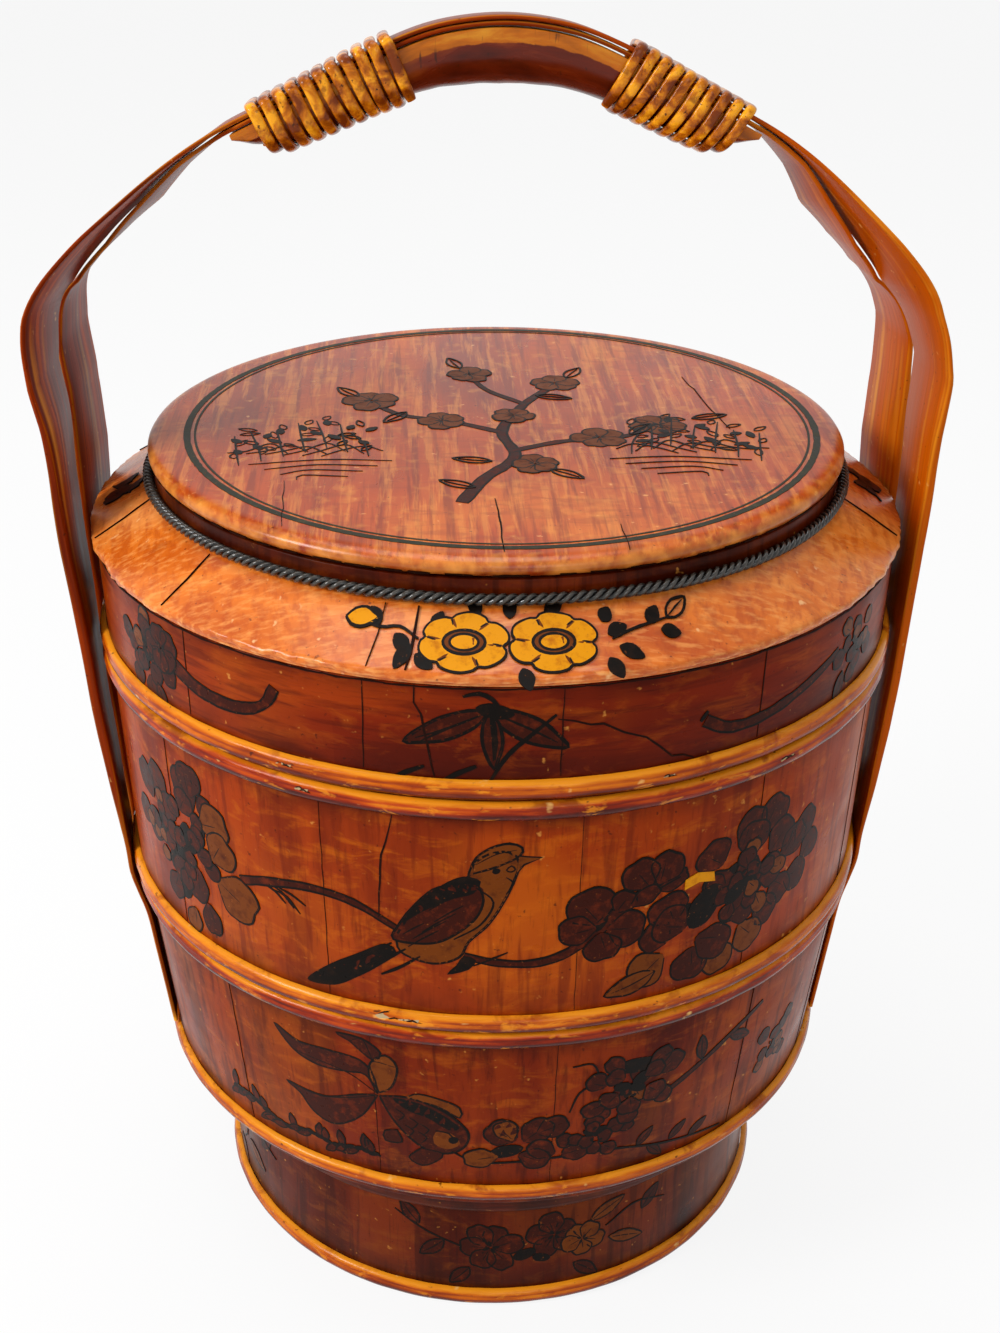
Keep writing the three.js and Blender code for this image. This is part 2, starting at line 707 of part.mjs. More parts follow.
function middleTier() {
  const group = new THREE.Group();
  const wallAt = (height) => wallRadius(MIDDLE_TIER, height);
  group.add(part('middle_tier_wall', turned(wallProfile(MIDDLE_TIER)), WALL_LACQUER));
  group.add(part('middle_tier_floor', floor(MIDDLE_TIER, MIDDLE_FLOOR_LIFT), INNER_WOOD));
  group.add(part('middle_tier_low_hoop', hoop(wallAt, MIDDLE_TIER.low), HOOP_LACQUER));
  group.add(part('middle_tier_top_hoop', hoop(wallAt, MIDDLE_TIER.high - HOOP_HEIGHT), HOOP_LACQUER));
  group.add(part('middle_tier_lip', lip(MIDDLE_TIER), INNER_WOOD));
  return group;
}

function lid() {
  const group = new THREE.Group();
  group.add(part('lid_wall', turned(wallProfile(LID_WALL)), WALL_LACQUER));
  group.add(part('lid_hoop', hoop((height) => wallRadius(LID_WALL, height), LID_WALL.low), HOOP_LACQUER));
  group.add(part('lid_shoulder', shoulder(), SHOULDER_LACQUER));
  group.add(part('lid_neck', neck(), WALL_LACQUER));
  group.add(part('lid_rope_trim', ropeTrim(), DARK_ROPE));
  group.add(part('lid_top_board', topBoard(), TOP_LACQUER));
  return group;
}

const basket = new THREE.Group();
basket.add(base(), middleTier(), lid());

export default basket;
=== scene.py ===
"""A tiered lacquered food basket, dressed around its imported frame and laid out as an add-on."""

import math
import random

import bpy
from bpy.props import FloatProperty, FloatVectorProperty, IntProperty, PointerProperty
from mathutils import Matrix, Vector, geometry, noise


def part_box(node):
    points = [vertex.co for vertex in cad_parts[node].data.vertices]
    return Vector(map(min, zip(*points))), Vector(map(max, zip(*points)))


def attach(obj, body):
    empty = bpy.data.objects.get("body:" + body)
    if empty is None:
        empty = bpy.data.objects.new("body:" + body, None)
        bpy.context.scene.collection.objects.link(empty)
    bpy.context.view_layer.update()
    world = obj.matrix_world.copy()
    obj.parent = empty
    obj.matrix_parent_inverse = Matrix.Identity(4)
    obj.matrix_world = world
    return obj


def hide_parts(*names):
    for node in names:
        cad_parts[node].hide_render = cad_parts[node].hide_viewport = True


bl_info = {
    "name": "Tiered Lacquered Food Basket",
    "version": (1, 0, 0),
    "blender": (4, 5, 0),
    "location": "View3D > Sidebar > Basket",
    "description": "Models and finishes a stacked lacquer basket with a bentwood handle",
    "category": "Object",
}

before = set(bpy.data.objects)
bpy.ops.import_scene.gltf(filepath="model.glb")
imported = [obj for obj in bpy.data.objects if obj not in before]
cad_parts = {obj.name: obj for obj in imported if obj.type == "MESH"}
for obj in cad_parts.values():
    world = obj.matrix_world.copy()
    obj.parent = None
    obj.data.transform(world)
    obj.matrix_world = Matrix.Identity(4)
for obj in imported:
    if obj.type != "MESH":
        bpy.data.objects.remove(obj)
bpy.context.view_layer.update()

# Lengths here and in the tables below are millimetres, as a maker would note them
MM = 0.001
FRONT = -math.pi / 2

GAP = 0.3
BOARD = 8
STACK_RADIUS = 178.8
FOOT_RADIUS = 134.9
FOOT_HIGH = 86
COLLAR_PROUD = 5.6
COLLAR_FLARE = 9.5
HOOP_THICK = 3.2
HOOP_HIGH = 9
TOP_HIGH = 395
CROWN = TOP_HIGH + 171.8
FIRST_RIM = 191.4
SECOND_RIM = 305.9
KNEE = 175.5
LIP_DEEP = 15
LIP_PROUD = 8


class Wall:
    """A tapering round wall: its rims' heights and outer radii."""

    def __init__(self, low, high, low_radius, high_radius):
        self.low, self.high = low, high
        self.low_radius, self.high_radius = low_radius, high_radius

    def radius(self, height):
        share = (height - self.low) / (self.high - self.low)
        return self.low_radius + share * (self.high_radius - self.low_radius)


FOOT = Wall(0, FOOT_HIGH, FOOT_RADIUS, FOOT_RADIUS)
BOTTOM = Wall(86.3, FIRST_RIM, 160, 172)
MIDDLE = Wall(191.7, SECOND_RIM, 172.5, 177.5)
LID = Wall(306.2, 355, 177.3, STACK_RADIUS)

SHOULDER_SEAT = 355.3
SHOULDER_LOW = 360.3
SHOULDER_TOP = 377.8
SHOULDER_EDGE = 180.5
SHOULDER_CREST = 151.8
NECK_RADIUS = 151.5
NECK_HIGH = 386.3
TOP_LOW = 386.6
TOP_RADIUS = 153.5
SHOULDER_SLOPE = (SHOULDER_TOP - SHOULDER_LOW) / (SHOULDER_EDGE - SHOULDER_CREST)


# General help


def paint(code):
    """A colour from its six-digit code, as a shader's linear values. Any other colour stays as it is."""
    if not isinstance(code, str):
        return code
    channels = [int(code[i:i + 2], 16) / 255 for i in (1, 3, 5)]
    return tuple(c / 12.92 if c <= 0.04045 else ((c + 0.055) / 1.055) ** 2.4 for c in channels) + (1.0,)


def darker(colour, share):
    """A share of a colour's light."""
    return (*[share * c for c in colour[:3]], 1)


def along(table, place):
    """The value of a table of (place, value) rows at a place between them."""
    if place <= table[0][0]:
        return table[0][1]
    for (start, low), (end, high) in zip(table, table[1:]):
        if place <= end:
            return low + (high - low) * (place - start) / (end - start)
    return table[-1][1]


def only(piece):
    """Make one piece the active and the only selected one."""
    bpy.ops.object.select_all(action="DESELECT")
    piece.select_set(True)
    bpy.context.view_layer.objects.active = piece


def new_piece(name, points, faces, edges=()):
    """A new mesh piece from points in millimetres."""
    mesh = bpy.data.meshes.new(name)
    mesh.from_pydata([[c * MM for c in point] for point in points], list(edges), faces)
    mesh.update()
    piece = bpy.data.objects.new(name, mesh)
    bpy.context.scene.collection.objects.link(piece)
    return piece


def faced_out(piece):
    """Turn every face of a closed piece outwards."""
    only(piece)
    bpy.ops.object.mode_set(mode="EDIT")
    bpy.ops.mesh.select_all(action="SELECT")
    bpy.ops.mesh.normals_make_consistent(inside=False)
    bpy.ops.object.mode_set(mode="OBJECT")
    return piece


def settle(piece, body, nodes, material, angle=38):
    """Give a finished piece its finish and its body, and let it stand for its CAD nodes."""
    piece.data.materials.clear()
    piece.data.materials.append(material)
    only(piece)
    bpy.ops.object.shade_smooth_by_angle(angle=math.radians(angle))
    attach(piece, body)
    if nodes:
        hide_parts(*nodes)
    return piece


def eased(profile, radius=0.9, cuts=3):
    """A closed profile with each sharp corner rounded over by a short arc."""
    rounded = []
    count = len(profile)
    for i, corner in enumerate(profile):
        here = Vector(corner)
        back = Vector(profile[i - 1]) - here
        ahead = Vector(profile[(i + 1) % count]) - here
        bend = math.pi - back.angle(ahead)
        if corner[0] < 1e-6 or bend < math.radians(25):
            rounded.append(tuple(here))
            continue
        reach = min(radius, 0.45 * back.length, 0.45 * ahead.length)
        start, end = here + back.normalized() * reach, here + ahead.normalized() * reach
        for k in range(cuts + 1):
            t = k / cuts
            rounded.append(tuple(start * (1 - t) ** 2 + here * 2 * t * (1 - t) + end * t ** 2))
    return rounded


def spun(name, profile, steps):
    """A round piece: its closed profile of (radius, height) is spun once about the axis."""
    count = len(profile)
    edges = [(i, (i + 1) % count) for i in range(count)]
    if profile[0][0] < 1e-6:
        edges.pop()
    piece = new_piece(name, [(r, 0, z) for r, z in profile], [], edges)
    only(piece)
    bpy.ops.object.mode_set(mode="EDIT")
    bpy.ops.mesh.select_all(action="SELECT")
    bpy.ops.mesh.spin(steps=steps, angle=2 * math.pi, center=(0, 0, 0), axis=(0, 0, 1))
    bpy.ops.mesh.select_all(action="SELECT")
    bpy.ops.mesh.remove_doubles(threshold=2e-6)
    bpy.ops.mesh.normals_make_consistent(inside=False)
    bpy.ops.object.mode_set(mode="OBJECT")
    return piece


def weathered(piece, amount, grain, keep=lambda point: 1.0, seed=0):
    """Move a piece's skin in and out a little, so that its edges and faces look handmade."""
    shift = Vector((seed * 7.3, seed * 3.1, seed * 1.7))
    for vertex in piece.data.vertices:
        point = vertex.co / MM
        share = keep(point)
        if share:
            flat = Vector((point.x, point.y, 0)).normalized()
            swell = noise.noise(point / grain + shift) * amount * share
            lift = noise.noise(point / grain + shift + Vector((31, 5, 9))) * amount * share * 0.5
            vertex.co += (flat * swell + Vector((0, 0, lift))) * MM
    piece.data.update()
    return piece


# Finishes


class Nodes:
    """A shader tree being put together. A value is a number, a colour or another node's output."""

    def __init__(self, tree):
        self.tree = tree

    def node(self, kind, **values):
        made = self.tree.nodes.new(kind)
        for name, value in values.items():
            setattr(made, name, value)
        return made

    def feed(self, value, socket):
        if isinstance(value, bpy.types.NodeSocket):
            self.tree.links.new(value, socket)
        else:
            socket.default_value = value

    def fed(self, made, **values):
        """The outputs of a node once its inputs, named in small letters, hold their values."""
        for name, value in values.items():
            self.feed(value, made.inputs[name.replace("_", " ").title()])
        return made.outputs

    def noise(self, vector, scale, detail=3, rough=0.55, bend=0.0):
        made = self.node("ShaderNodeTexNoise")
        return self.fed(made, vector=vector, scale=scale, detail=detail, roughness=rough,
                        distortion=bend)["Fac"]

    def ramp(self, value, stops):
        made = self.node("ShaderNodeValToRGB")
        elements = made.color_ramp.elements
        while len(elements) < len(stops):
            elements.new(0.5)
        for element, (place, tone) in zip(elements, stops):
            element.position = place
            element.color = tone
        return self.fed(made, fac=value)["Color"]

    def spread(self, value, low, high, out_low=0.0, out_high=1.0):
        made = self.node("ShaderNodeMapRange")
        return self.fed(made, value=value, from_min=low, from_max=high, to_min=out_low,
                        to_max=out_high)["Result"]

    def sum(self, a, b, kind="ADD", clamp=False):
        made = self.node("ShaderNodeMath", operation=kind, use_clamp=clamp)
        for value, socket in zip((a, b), made.inputs):
            self.feed(value, socket)
        return made.outputs[0]

    def mix(self, share, a, b):
        made = self.node("ShaderNodeMix", data_type="RGBA", clamp_result=True)
        for value, index in ((share, 0), (a, 6), (b, 7)):
            self.feed(value, made.inputs[index])
        return made.outputs[2]

    def parts(self, vector):
        """The X, Y and Z of a vector."""
        return self.fed(self.node("ShaderNodeSeparateXYZ"), vector=vector)

    def shape(self, name):
        """A mask or a direction that comes from the piece's own shape."""
        return self.node("ShaderNodeNewGeometry").outputs[name]


class Finish(Nodes):
    """A material being put together: its nodes and its glossy shader."""

    def __init__(self, name):
        self.material = bpy.data.materials.new(name)
        self.material.use_nodes = True
        super().__init__(self.material.node_tree)
        self.places = self.node("ShaderNodeTexCoord").outputs["Object"]

    def scaled(self, scale, turn=(0, 0, 0), move=(0, 0, 0), places=None):
        made = self.node("ShaderNodeMapping")
        return self.fed(made, vector=places or self.places, scale=scale, rotation=turn,
                        location=move)["Vector"]

    def way(self, scale=(1, 1, 1)):
        """Where a point lies on its own piece: along, below or across, and through."""
        way = self.node("ShaderNodeAttribute", attribute_name="way").outputs["Vector"]
        return self.scaled(scale, places=way)

    def group(self, maker, **values):
        """The outputs of a shared effect, which is built the first time that a finish asks for it."""
        if maker not in GROUPS:
            GROUPS[maker] = maker()
        return self.fed(self.node("ShaderNodeGroup", node_tree=GROUPS[maker]), **values)

    def worn(self, base, speck, nick, **values):
        """Dark specks and then pale nicks over a colour."""
        wear = self.group(wear_marks, **values)
        return self.mix(wear["Nick"], self.mix(wear["Speck"], base, paint(speck)), paint(nick))

    def bump(self, height, strength, depth, normal=None):
        made = self.node("ShaderNodeBump")
        values = {"normal": normal} if normal else {}
        return self.fed(made, height=height, strength=strength, distance=depth * MM, **values)["Normal"]

    def finish(self, colour, rough, normal, shine=0.5):
        shader = self.tree.nodes["Principled BSDF"]
        self.fed(shader, base_color=colour, roughness=rough, normal=normal)
        shader.inputs["Specular IOR Level"].default_value = shine
        return self.material


GROUPS = {}
UPRIGHT = (1, 1, 0.09)
LOW_RIM_DARK = 15
HIGH_RIM_DARK = 9


def effect(name, outputs, **inputs):
    """An empty shared effect with its place, its named numbers and its outputs."""
    tree = bpy.data.node_groups.new(name, "ShaderNodeTree")
    tree.interface.new_socket("Place", in_out="INPUT", socket_type="NodeSocketVector")
    for label, value in inputs.items():
        socket = tree.interface.new_socket(
            label.replace("_", " ").title(), in_out="INPUT", socket_type="NodeSocketFloat")
        socket.default_value = value
    for label in outputs:
        tree.interface.new_socket(label, in_out="OUTPUT", socket_type="NodeSocketFloat")
    made = Nodes(tree)
    return made, made.node("NodeGroupInput").outputs, made.node("NodeGroupOutput").inputs


def wood_figure():
    """Board figure: broad clouds, long streaks and fine pores, from a stretched place."""
    e, start, end = effect("Wood figure", ("Cloud", "Streak", "Pore"),
                           cloud_size=18.0, streak_size=160.0, pore_size=700.0)
    for out, detail, bend in (("Cloud", 3, 0.6), ("Streak", 4, 0.4), ("Pore", 2, 0.0)):
        e.feed(e.noise(start["Place"], start[f"{out} Size"], detail, 0.5, bend), end[out])
    return e.tree


def wear_marks():
    """Wear on lacquer: small pale nicks and dark specks."""
    e, start, end = effect("Wear marks", ("Nick", "Speck"), nick_size=160.0, speck_size=420.0, amount=0.5)
    for out, low, high in (("Nick", 0.70, 0.78), ("Speck", 0.69, 0.76)):
        mark = e.spread(e.noise(start["Place"], start[f"{out} Size"], 2, 0.5), low, high)
        e.feed(e.sum(mark, start["Amount"], "MULTIPLY"), end[out])
    return e.tree


def board_tints():
    """A tint for each board round the basket: nought to one, with its own even steps."""
    e, start, end = effect("Board tints", ("Tint",), boards=16.0, shift=0.0)
    place = e.parts(start["Place"])
    turns = e.sum(e.sum(place["Y"], place["X"], "ARCTAN2"), 0.5 / math.pi, "MULTIPLY")
    board = e.sum(e.sum(turns, start["Boards"], "MULTIPLY"), start["Shift"])
    tint = e.node("ShaderNodeTexWhiteNoise", noise_dimensions="1D")
    e.feed(e.sum(board, 0.0, "FLOOR"), tint.inputs["W"])
    e.feed(tint.outputs["Value"], end["Tint"])
    return e.tree


def edge_wear_and_highlight():
    """Worn arrises with painted highlight: pale where a piece's corners stand out, broken up by a fine
    grain.
    """
    e, start, end = effect("Edge wear and highlight", ("Edge",), reach=0.52, break_up=300.0)
    grain = e.spread(e.noise(start["Place"], start["Break Up"], 2, 0.5), 0, 1, -0.06, 0.06)
    proud = e.sum(e.sum(e.shape("Pointiness"), grain), start["Reach"], "SUBTRACT")
    e.feed(e.sum(proud, 18.0, "MULTIPLY", True), end["Edge"])
    return e.tree


def lacquered_wall(name, tones, ends, stretch=UPRIGHT, shift=0.0):
    """Red-orange lacquer over upright boards: amber clouds, dark streaks, and darker bands toward both rims.
    """
    f = Finish(name)
    deep, middle, bright, gold = tones
    figure = f.group(wood_figure, place=f.scaled(stretch), cloud_size=20, streak_size=230, pore_size=900)
    base = f.ramp(figure["Cloud"], [(0.38, deep), (0.49, middle), (0.62, bright)])
    tint = f.group(board_tints, place=f.places, boards=15, shift=shift)["Tint"]
    base = f.mix(f.spread(tint, 0.35, 1.0, 0, 0.4), base, bright)
    broad = f.noise(f.scaled((1, 1, 0.6)), 11, 3)
    base = f.mix(f.spread(broad, 0.52, 0.74, 0, 0.6), base, gold)
    ripple = f.noise(f.scaled((1, 1, 2.6), turn=(0.25, 0, 0)), 52, 4, 0.65, 0.6)
    base = f.mix(f.spread(ripple, 0.5, 0.68, 0, 0.45), base, gold)
    base = f.mix(f.spread(figure["Streak"], 0.5, 0.64, 0, 0.6), base, deep)
    base = f.mix(f.spread(figure["Pore"], 0.58, 0.75, 0, 0.3), base, darker(deep, 0.3))
    # Darker bands toward both rims, broken up by noise.
    rim_dark_break_up = f.spread(f.noise(f.places, 48, 4, 0.6), 0.35, 0.65, 0.25, 1)
    low, high = ends
    for rim, inner in ((low, low + LOW_RIM_DARK), (high, high - HIGH_RIM_DARK)):
        near = f.spread(f.parts(f.places)["Z"], rim * MM, inner * MM, 0.75, 0)
        base = f.mix(f.sum(near, rim_dark_break_up, "MULTIPLY"), base, darker(deep, 0.45))
    base = f.worn(base, "#2a0d05", "#d08a3c", place=f.places, nick_size=230, amount=0.6)
    normal = f.bump(f.noise(f.scaled((1, 1, 0.35)), 60, 3), 0.3, 0.4)
    normal = f.bump(figure["Streak"], 0.25, 0.15, normal)
    roughness = f.spread(f.noise(f.places, 40, 3), 0.3, 0.7, 0.24, 0.42)
    return f.finish(base, roughness, normal, 0.06)


def hoop_finish(name, under, low_tone, middle, high, stain):
    """Split bamboo bent round a rim: painted highlight above and painted shade below, streaked along,
    stained and nicked.
    """
    f = Finish(name)
    streak = f.noise(f.scaled((1, 1, 9)), 26, 4, 0.6)
    # Painted light and shade: the tone follows how far the surface faces up, from the shaded underside to
    # the highlit top.
    slope = f.sum(f.parts(f.shape("Normal"))["Z"], f.spread(streak, 0.3, 0.7, -0.38, 0.38))
    base = f.ramp(f.spread(slope, -1, 1), [(0.3, under), (0.5, low_tone), (0.66, middle), (0.9, high)])
    patches = f.noise(f.scaled((1, 1, 2)), 34, 4, 0.65, 0.5)
    base = f.mix(f.spread(patches, 0.56, 0.66, 0, 0.7), base, stain)
    worn = f.noise(f.scaled((1, 1, 3), move=(0.2, 0.7, 0)), 70, 4, 0.65, 0.4)
    base = f.mix(f.spread(worn, 0.58, 0.66, 0, 0.6), base, high)
    base = f.worn(base, "#3a1506", "#f0c070", place=f.scaled((1, 1, 2)),
                  nick_size=110, speck_size=260, amount=0.8)
    normal = f.bump(streak, 0.5, 0.35)
    normal = f.bump(patches, 0.3, 0.6, normal)
    return f.finish(base, f.spread(patches, 0.3, 0.7, 0.14, 0.3), normal, 0.16)


def shoulder_finish(name):
    """Pale orange boards whose grain runs round the lid, each with its own tint, crossed by ripples."""
    f = Finish(name)
    clouds = f.noise(f.scaled((0.3, 1, 1)), 26, 4, 0.6, 0.3)
    base = f.ramp(clouds, [(0.3, paint("#b0480e")), (0.48, paint("#d8701e")), (0.7, paint("#ee9644"))])
    tint = f.group(board_tints, place=f.places, boards=10, shift=0.35)["Tint"]
    base = f.mix(f.spread(tint, 0.2, 1.0, 0, 0.55), base, paint("#c2500a"))
    ripple = f.noise(f.scaled((1, 0.18, 1), turn=(0, 0, 0.1)), 210, 3, 0.6)
    base = f.mix(f.spread(ripple, 0.46, 0.62, 0, 0.55), base, paint("#ab4009"))
    grain = f.noise(f.scaled((0.2, 1, 1)), 430, 3)
    base = f.mix(f.spread(grain, 0.48, 0.7, 0, 0.45), base, paint("#f5a656"))
    worn = f.noise(f.places, 42, 4, 0.65, 0.4)
    base = f.mix(f.spread(worn, 0.58, 0.7, 0, 0.5), base, paint("#8e3208"))
    base = f.worn(base, "#5a1c08", "#f6c184", place=f.places, nick_size=190, amount=0.7)
    # Pale corners, partly wear and partly painted highlight.
    edge = f.group(edge_wear_and_highlight, place=f.places, reach=0.54, break_up=160)
    base = f.mix(edge["Edge"], base, paint("#f2b268"))
    normal = f.bump(f.noise(f.scaled((0.3, 1, 1)), 70, 3), 0.12, 0.3)
    normal = f.bump(ripple, 0.15, 0.15, normal)
    return f.finish(base, f.spread(clouds, 0.3, 0.7, 0.2, 0.34), normal, 0.35)


def top_finish(name):
    """The lid's board: orange-red with fine streaks from front to back, a bright rim that is partly wear and
    partly painted highlight, and painted shade on its side.
    """
    f = Finish(name)
    clouds = f.noise(f.scaled((1, 0.4, 1)), 13, 4, 0.6, 0.5)
    base = f.ramp(clouds, [(0.3, paint("#8a2e06")), (0.5, paint("#b44810")), (0.7, paint("#d06c24"))])
    streak = f.noise(f.scaled((1, 0.05, 1)), 190, 4, 0.65, 0.15)
    base = f.mix(f.spread(streak, 0.48, 0.6, 0, 0.65), base, paint("#7a260a"))
    pale = f.noise(f.scaled((1, 0.06, 1), move=(0.4, 0.2, 0)), 260, 4, 0.65, 0.15)
    base = f.mix(f.spread(pale, 0.5, 0.62, 0, 0.55), base, paint("#e08636"))
    curl = f.noise(f.scaled((0.35, 1, 1), turn=(0, 0, 0.2)), 120, 3, 0.55, 0.8)
    base = f.mix(f.spread(curl, 0.52, 0.66, 0, 0.35), base, paint("#8c3410"))
    base = f.worn(base, "#3c1206", "#f0b070", place=f.places, nick_size=240, amount=0.7)
    # Painted shade: the board's side darkens where its surface turns away from straight up.
    side = f.spread(f.parts(f.shape("Normal"))["Z"], 0.85, 0.1)
    base = f.mix(f.sum(side, 0.55, "MULTIPLY"), base, paint("#6e1d04"))
    # Pale rim, partly wear and partly painted highlight.
    edge = f.group(edge_wear_and_highlight, place=f.places, reach=0.515, break_up=120)
    base = f.mix(edge["Edge"], base, paint("#e29038"))
    normal = f.bump(streak, 0.3, 0.12)
    normal = f.bump(f.noise(f.places, 45, 2), 0.1, 0.4, normal)
    return f.finish(base, f.spread(clouds, 0.3, 0.7, 0.22, 0.36), normal, 0.35)


def lath_finish(name, deep, middle, bright, gold):
    """Bent laths: long streaks along the bend, golden arrises that are partly wear and partly painted
    highlight, small scars, and painted light toward the right-hand arm.
    """
    f = Finish(name)
    way = f.way((0.035, 1, 1))
    streak = f.noise(way, 260, 4, 0.6, 0.1)
    clouds = f.noise(way, 70, 4, 0.6, 0.3)
    base = f.ramp(clouds, [(0.34, deep), (0.5, middle), (0.66, bright)])
    base = f.mix(f.spread(streak, 0.48, 0.62, 0, 0.65), base, deep)
    stain = f.noise(f.scaled((1, 1, 0.25)), 30, 4, 0.65, 0.3)
    base = f.mix(f.spread(stain, 0.5, 0.68, 0, 0.5), base, deep)
    # Painted light: the laths brighten toward +X, where the right-hand arm is lit.
    base = f.mix(f.spread(f.parts(f.places)["X"], 0.02, 0.16, 0, 0.6), base, bright)
    # Golden arrises, partly wear and partly painted highlight.
    edge = f.group(edge_wear_and_highlight, place=way, reach=0.53, break_up=170)
    base = f.mix(edge["Edge"], base, gold)
    wear = f.group(wear_marks, place=f.places, nick_size=200, amount=0.7)
    base = f.mix(wear["Nick"], base, paint("#dba45c"))
    base = f.mix(wear["Speck"], base, paint("#2a0d05"))
    normal = f.bump(streak, 0.4, 0.3)
    return f.finish(base, f.spread(clouds, 0.3, 0.7, 0.26, 0.4), normal, 0.05)


def cane_finish(name):
    """Rattan cane: bright amber varnish, dark specks, and painted shade in the gaps between the turns."""
    f = Finish(name)
    clouds = f.noise(f.places, 95, 4, 0.6, 0.4)
    base = f.ramp(clouds, [(0.4, paint("#743004")), (0.5, paint("#bc6606")), (0.62, paint("#f2a41c"))])
    pits = f.noise(f.places, 520, 2)
    base = f.mix(f.spread(pits, 0.66, 0.74, 0, 0.85), base, paint("#33150a"))
    stain = f.noise(f.scaled((1, 1, 1), move=(0.3, 0, 0)), 150, 4, 0.6)
    base = f.mix(f.spread(stain, 0.55, 0.66, 0, 0.7), base, paint("#7c3a06"))
    # Painted shade: dark brown where the surface turns inward, in the gaps between the turns.
    base = f.mix(f.spread(f.shape("Pointiness"), 0.51, 0.44, 0, 0.9), base, paint("#341302"))
    normal = f.bump(f.noise(f.places, 260, 3), 0.35, 0.3)
    return f.finish(base, f.spread(stain, 0.3, 0.7, 0.12, 0.26), normal, 0.2)


def grip_finish(name):
    """The grip block: red-brown lacquer below, its dark tones partly painted shade where it curves under,
    worn to bare golden wood along its flat band.
    """
    f = Finish(name)
    way = f.way((0.25, 1, 1))
    clouds = f.noise(way, 60, 4, 0.6, 0.4)
    # The underside's dark tones are partly the lacquer's own colour and partly painted shade where the block
    # curves under.
    base = f.ramp(clouds, [(0.3, paint("#3f0c01")), (0.5, paint("#641c02")), (0.72, paint("#a04a0a"))])
    worn = f.noise(way, 150, 4, 0.6, 0.4)
    gold = f.ramp(worn, [(0.3, paint("#8a4604")), (0.55, paint("#b86206")), (0.75, paint("#d08a20"))])
    ragged = f.sum(f.parts(way)["Y"], f.spread(f.noise(f.places, 210, 3), 0, 1, -0.9 * MM, 0.9 * MM))
    base = f.mix(f.spread(ragged, GRIP_BAND * MM, (GRIP_BAND - 0.4) * MM), base, gold)
    nicks = f.noise(f.scaled((1, 1, 0.15)), 480, 2)
    base = f.mix(f.spread(nicks, 0.66, 0.74, 0, 0.8), base, paint("#2c1206"))
    normal = f.bump(worn, 0.35, 0.25)
    return f.finish(base, f.spread(clouds, 0.3, 0.7, 0.2, 0.36), normal, 0.25)


def rope_finish(name):
    """Black lacquered cord with grey painted highlights on its ridges."""
    f = Finish(name)
    mottle = f.noise(f.places, 300, 4, 0.6)
    base = f.ramp(mottle, [(0.36, paint("#040302")), (0.6, paint("#0a0705")), (0.76, paint("#332b22"))])
    # Painted highlight: grey along the strands' ridges.
    base = f.mix(f.spread(f.shape("Pointiness"), 0.56, 0.64, 0, 0.5), base, paint("#a39a8c"))
    normal = f.bump(mottle, 0.6, 0.35)
    return f.finish(base, f.spread(mottle, 0.3, 0.7, 0.14, 0.34), normal, 0.5)


def inner_finish(name):
    """Plain inner wood under a thin brown lacquer."""
    f = Finish(name)
    figure = f.group(wood_figure, place=f.scaled((1, 0.12, 1)),
                     cloud_size=24, streak_size=210, pore_size=800)
    base = f.ramp(figure["Cloud"],
                  [(0.3, paint("#6b2a0f")), (0.5, paint("#8a3f18")), (0.7, paint("#a65826"))])
    base = f.mix(f.spread(figure["Streak"], 0.45, 0.7, 0, 0.5), base, paint("#57200c"))
    base = f.mix(f.spread(figure["Pore"], 0.55, 0.8, 0, 0.3), base, paint("#3a1408"))
    normal = f.bump(figure["Streak"], 0.4, 0.2)
    return f.finish(base, f.spread(figure["Cloud"], 0.3, 0.7, 0.4, 0.6), normal, 0.4)


def painted_line(name, tone, worn, amount=0.5, rough=0.34):
    """Brushed paint on the lacquer: its tone, thinned in places so that the ground shows."""
    f = Finish(name)
    thin = f.noise(f.places, 190, 4, 0.65)
    base = f.mix(f.spread(thin, 0.5, 0.75, 0, amount), tone, worn)
    specks = f.noise(f.places, 600, 2)
    base = f.mix(f.spread(specks, 0.68, 0.76, 0, 0.5), base, paint("#96501c"))
    normal = f.bump(thin, 0.25, 0.15)
    return f.finish(base, f.spread(thin, 0.3, 0.7, rough - 0.08, rough + 0.1), normal, 0.06)


FINISHES = {}


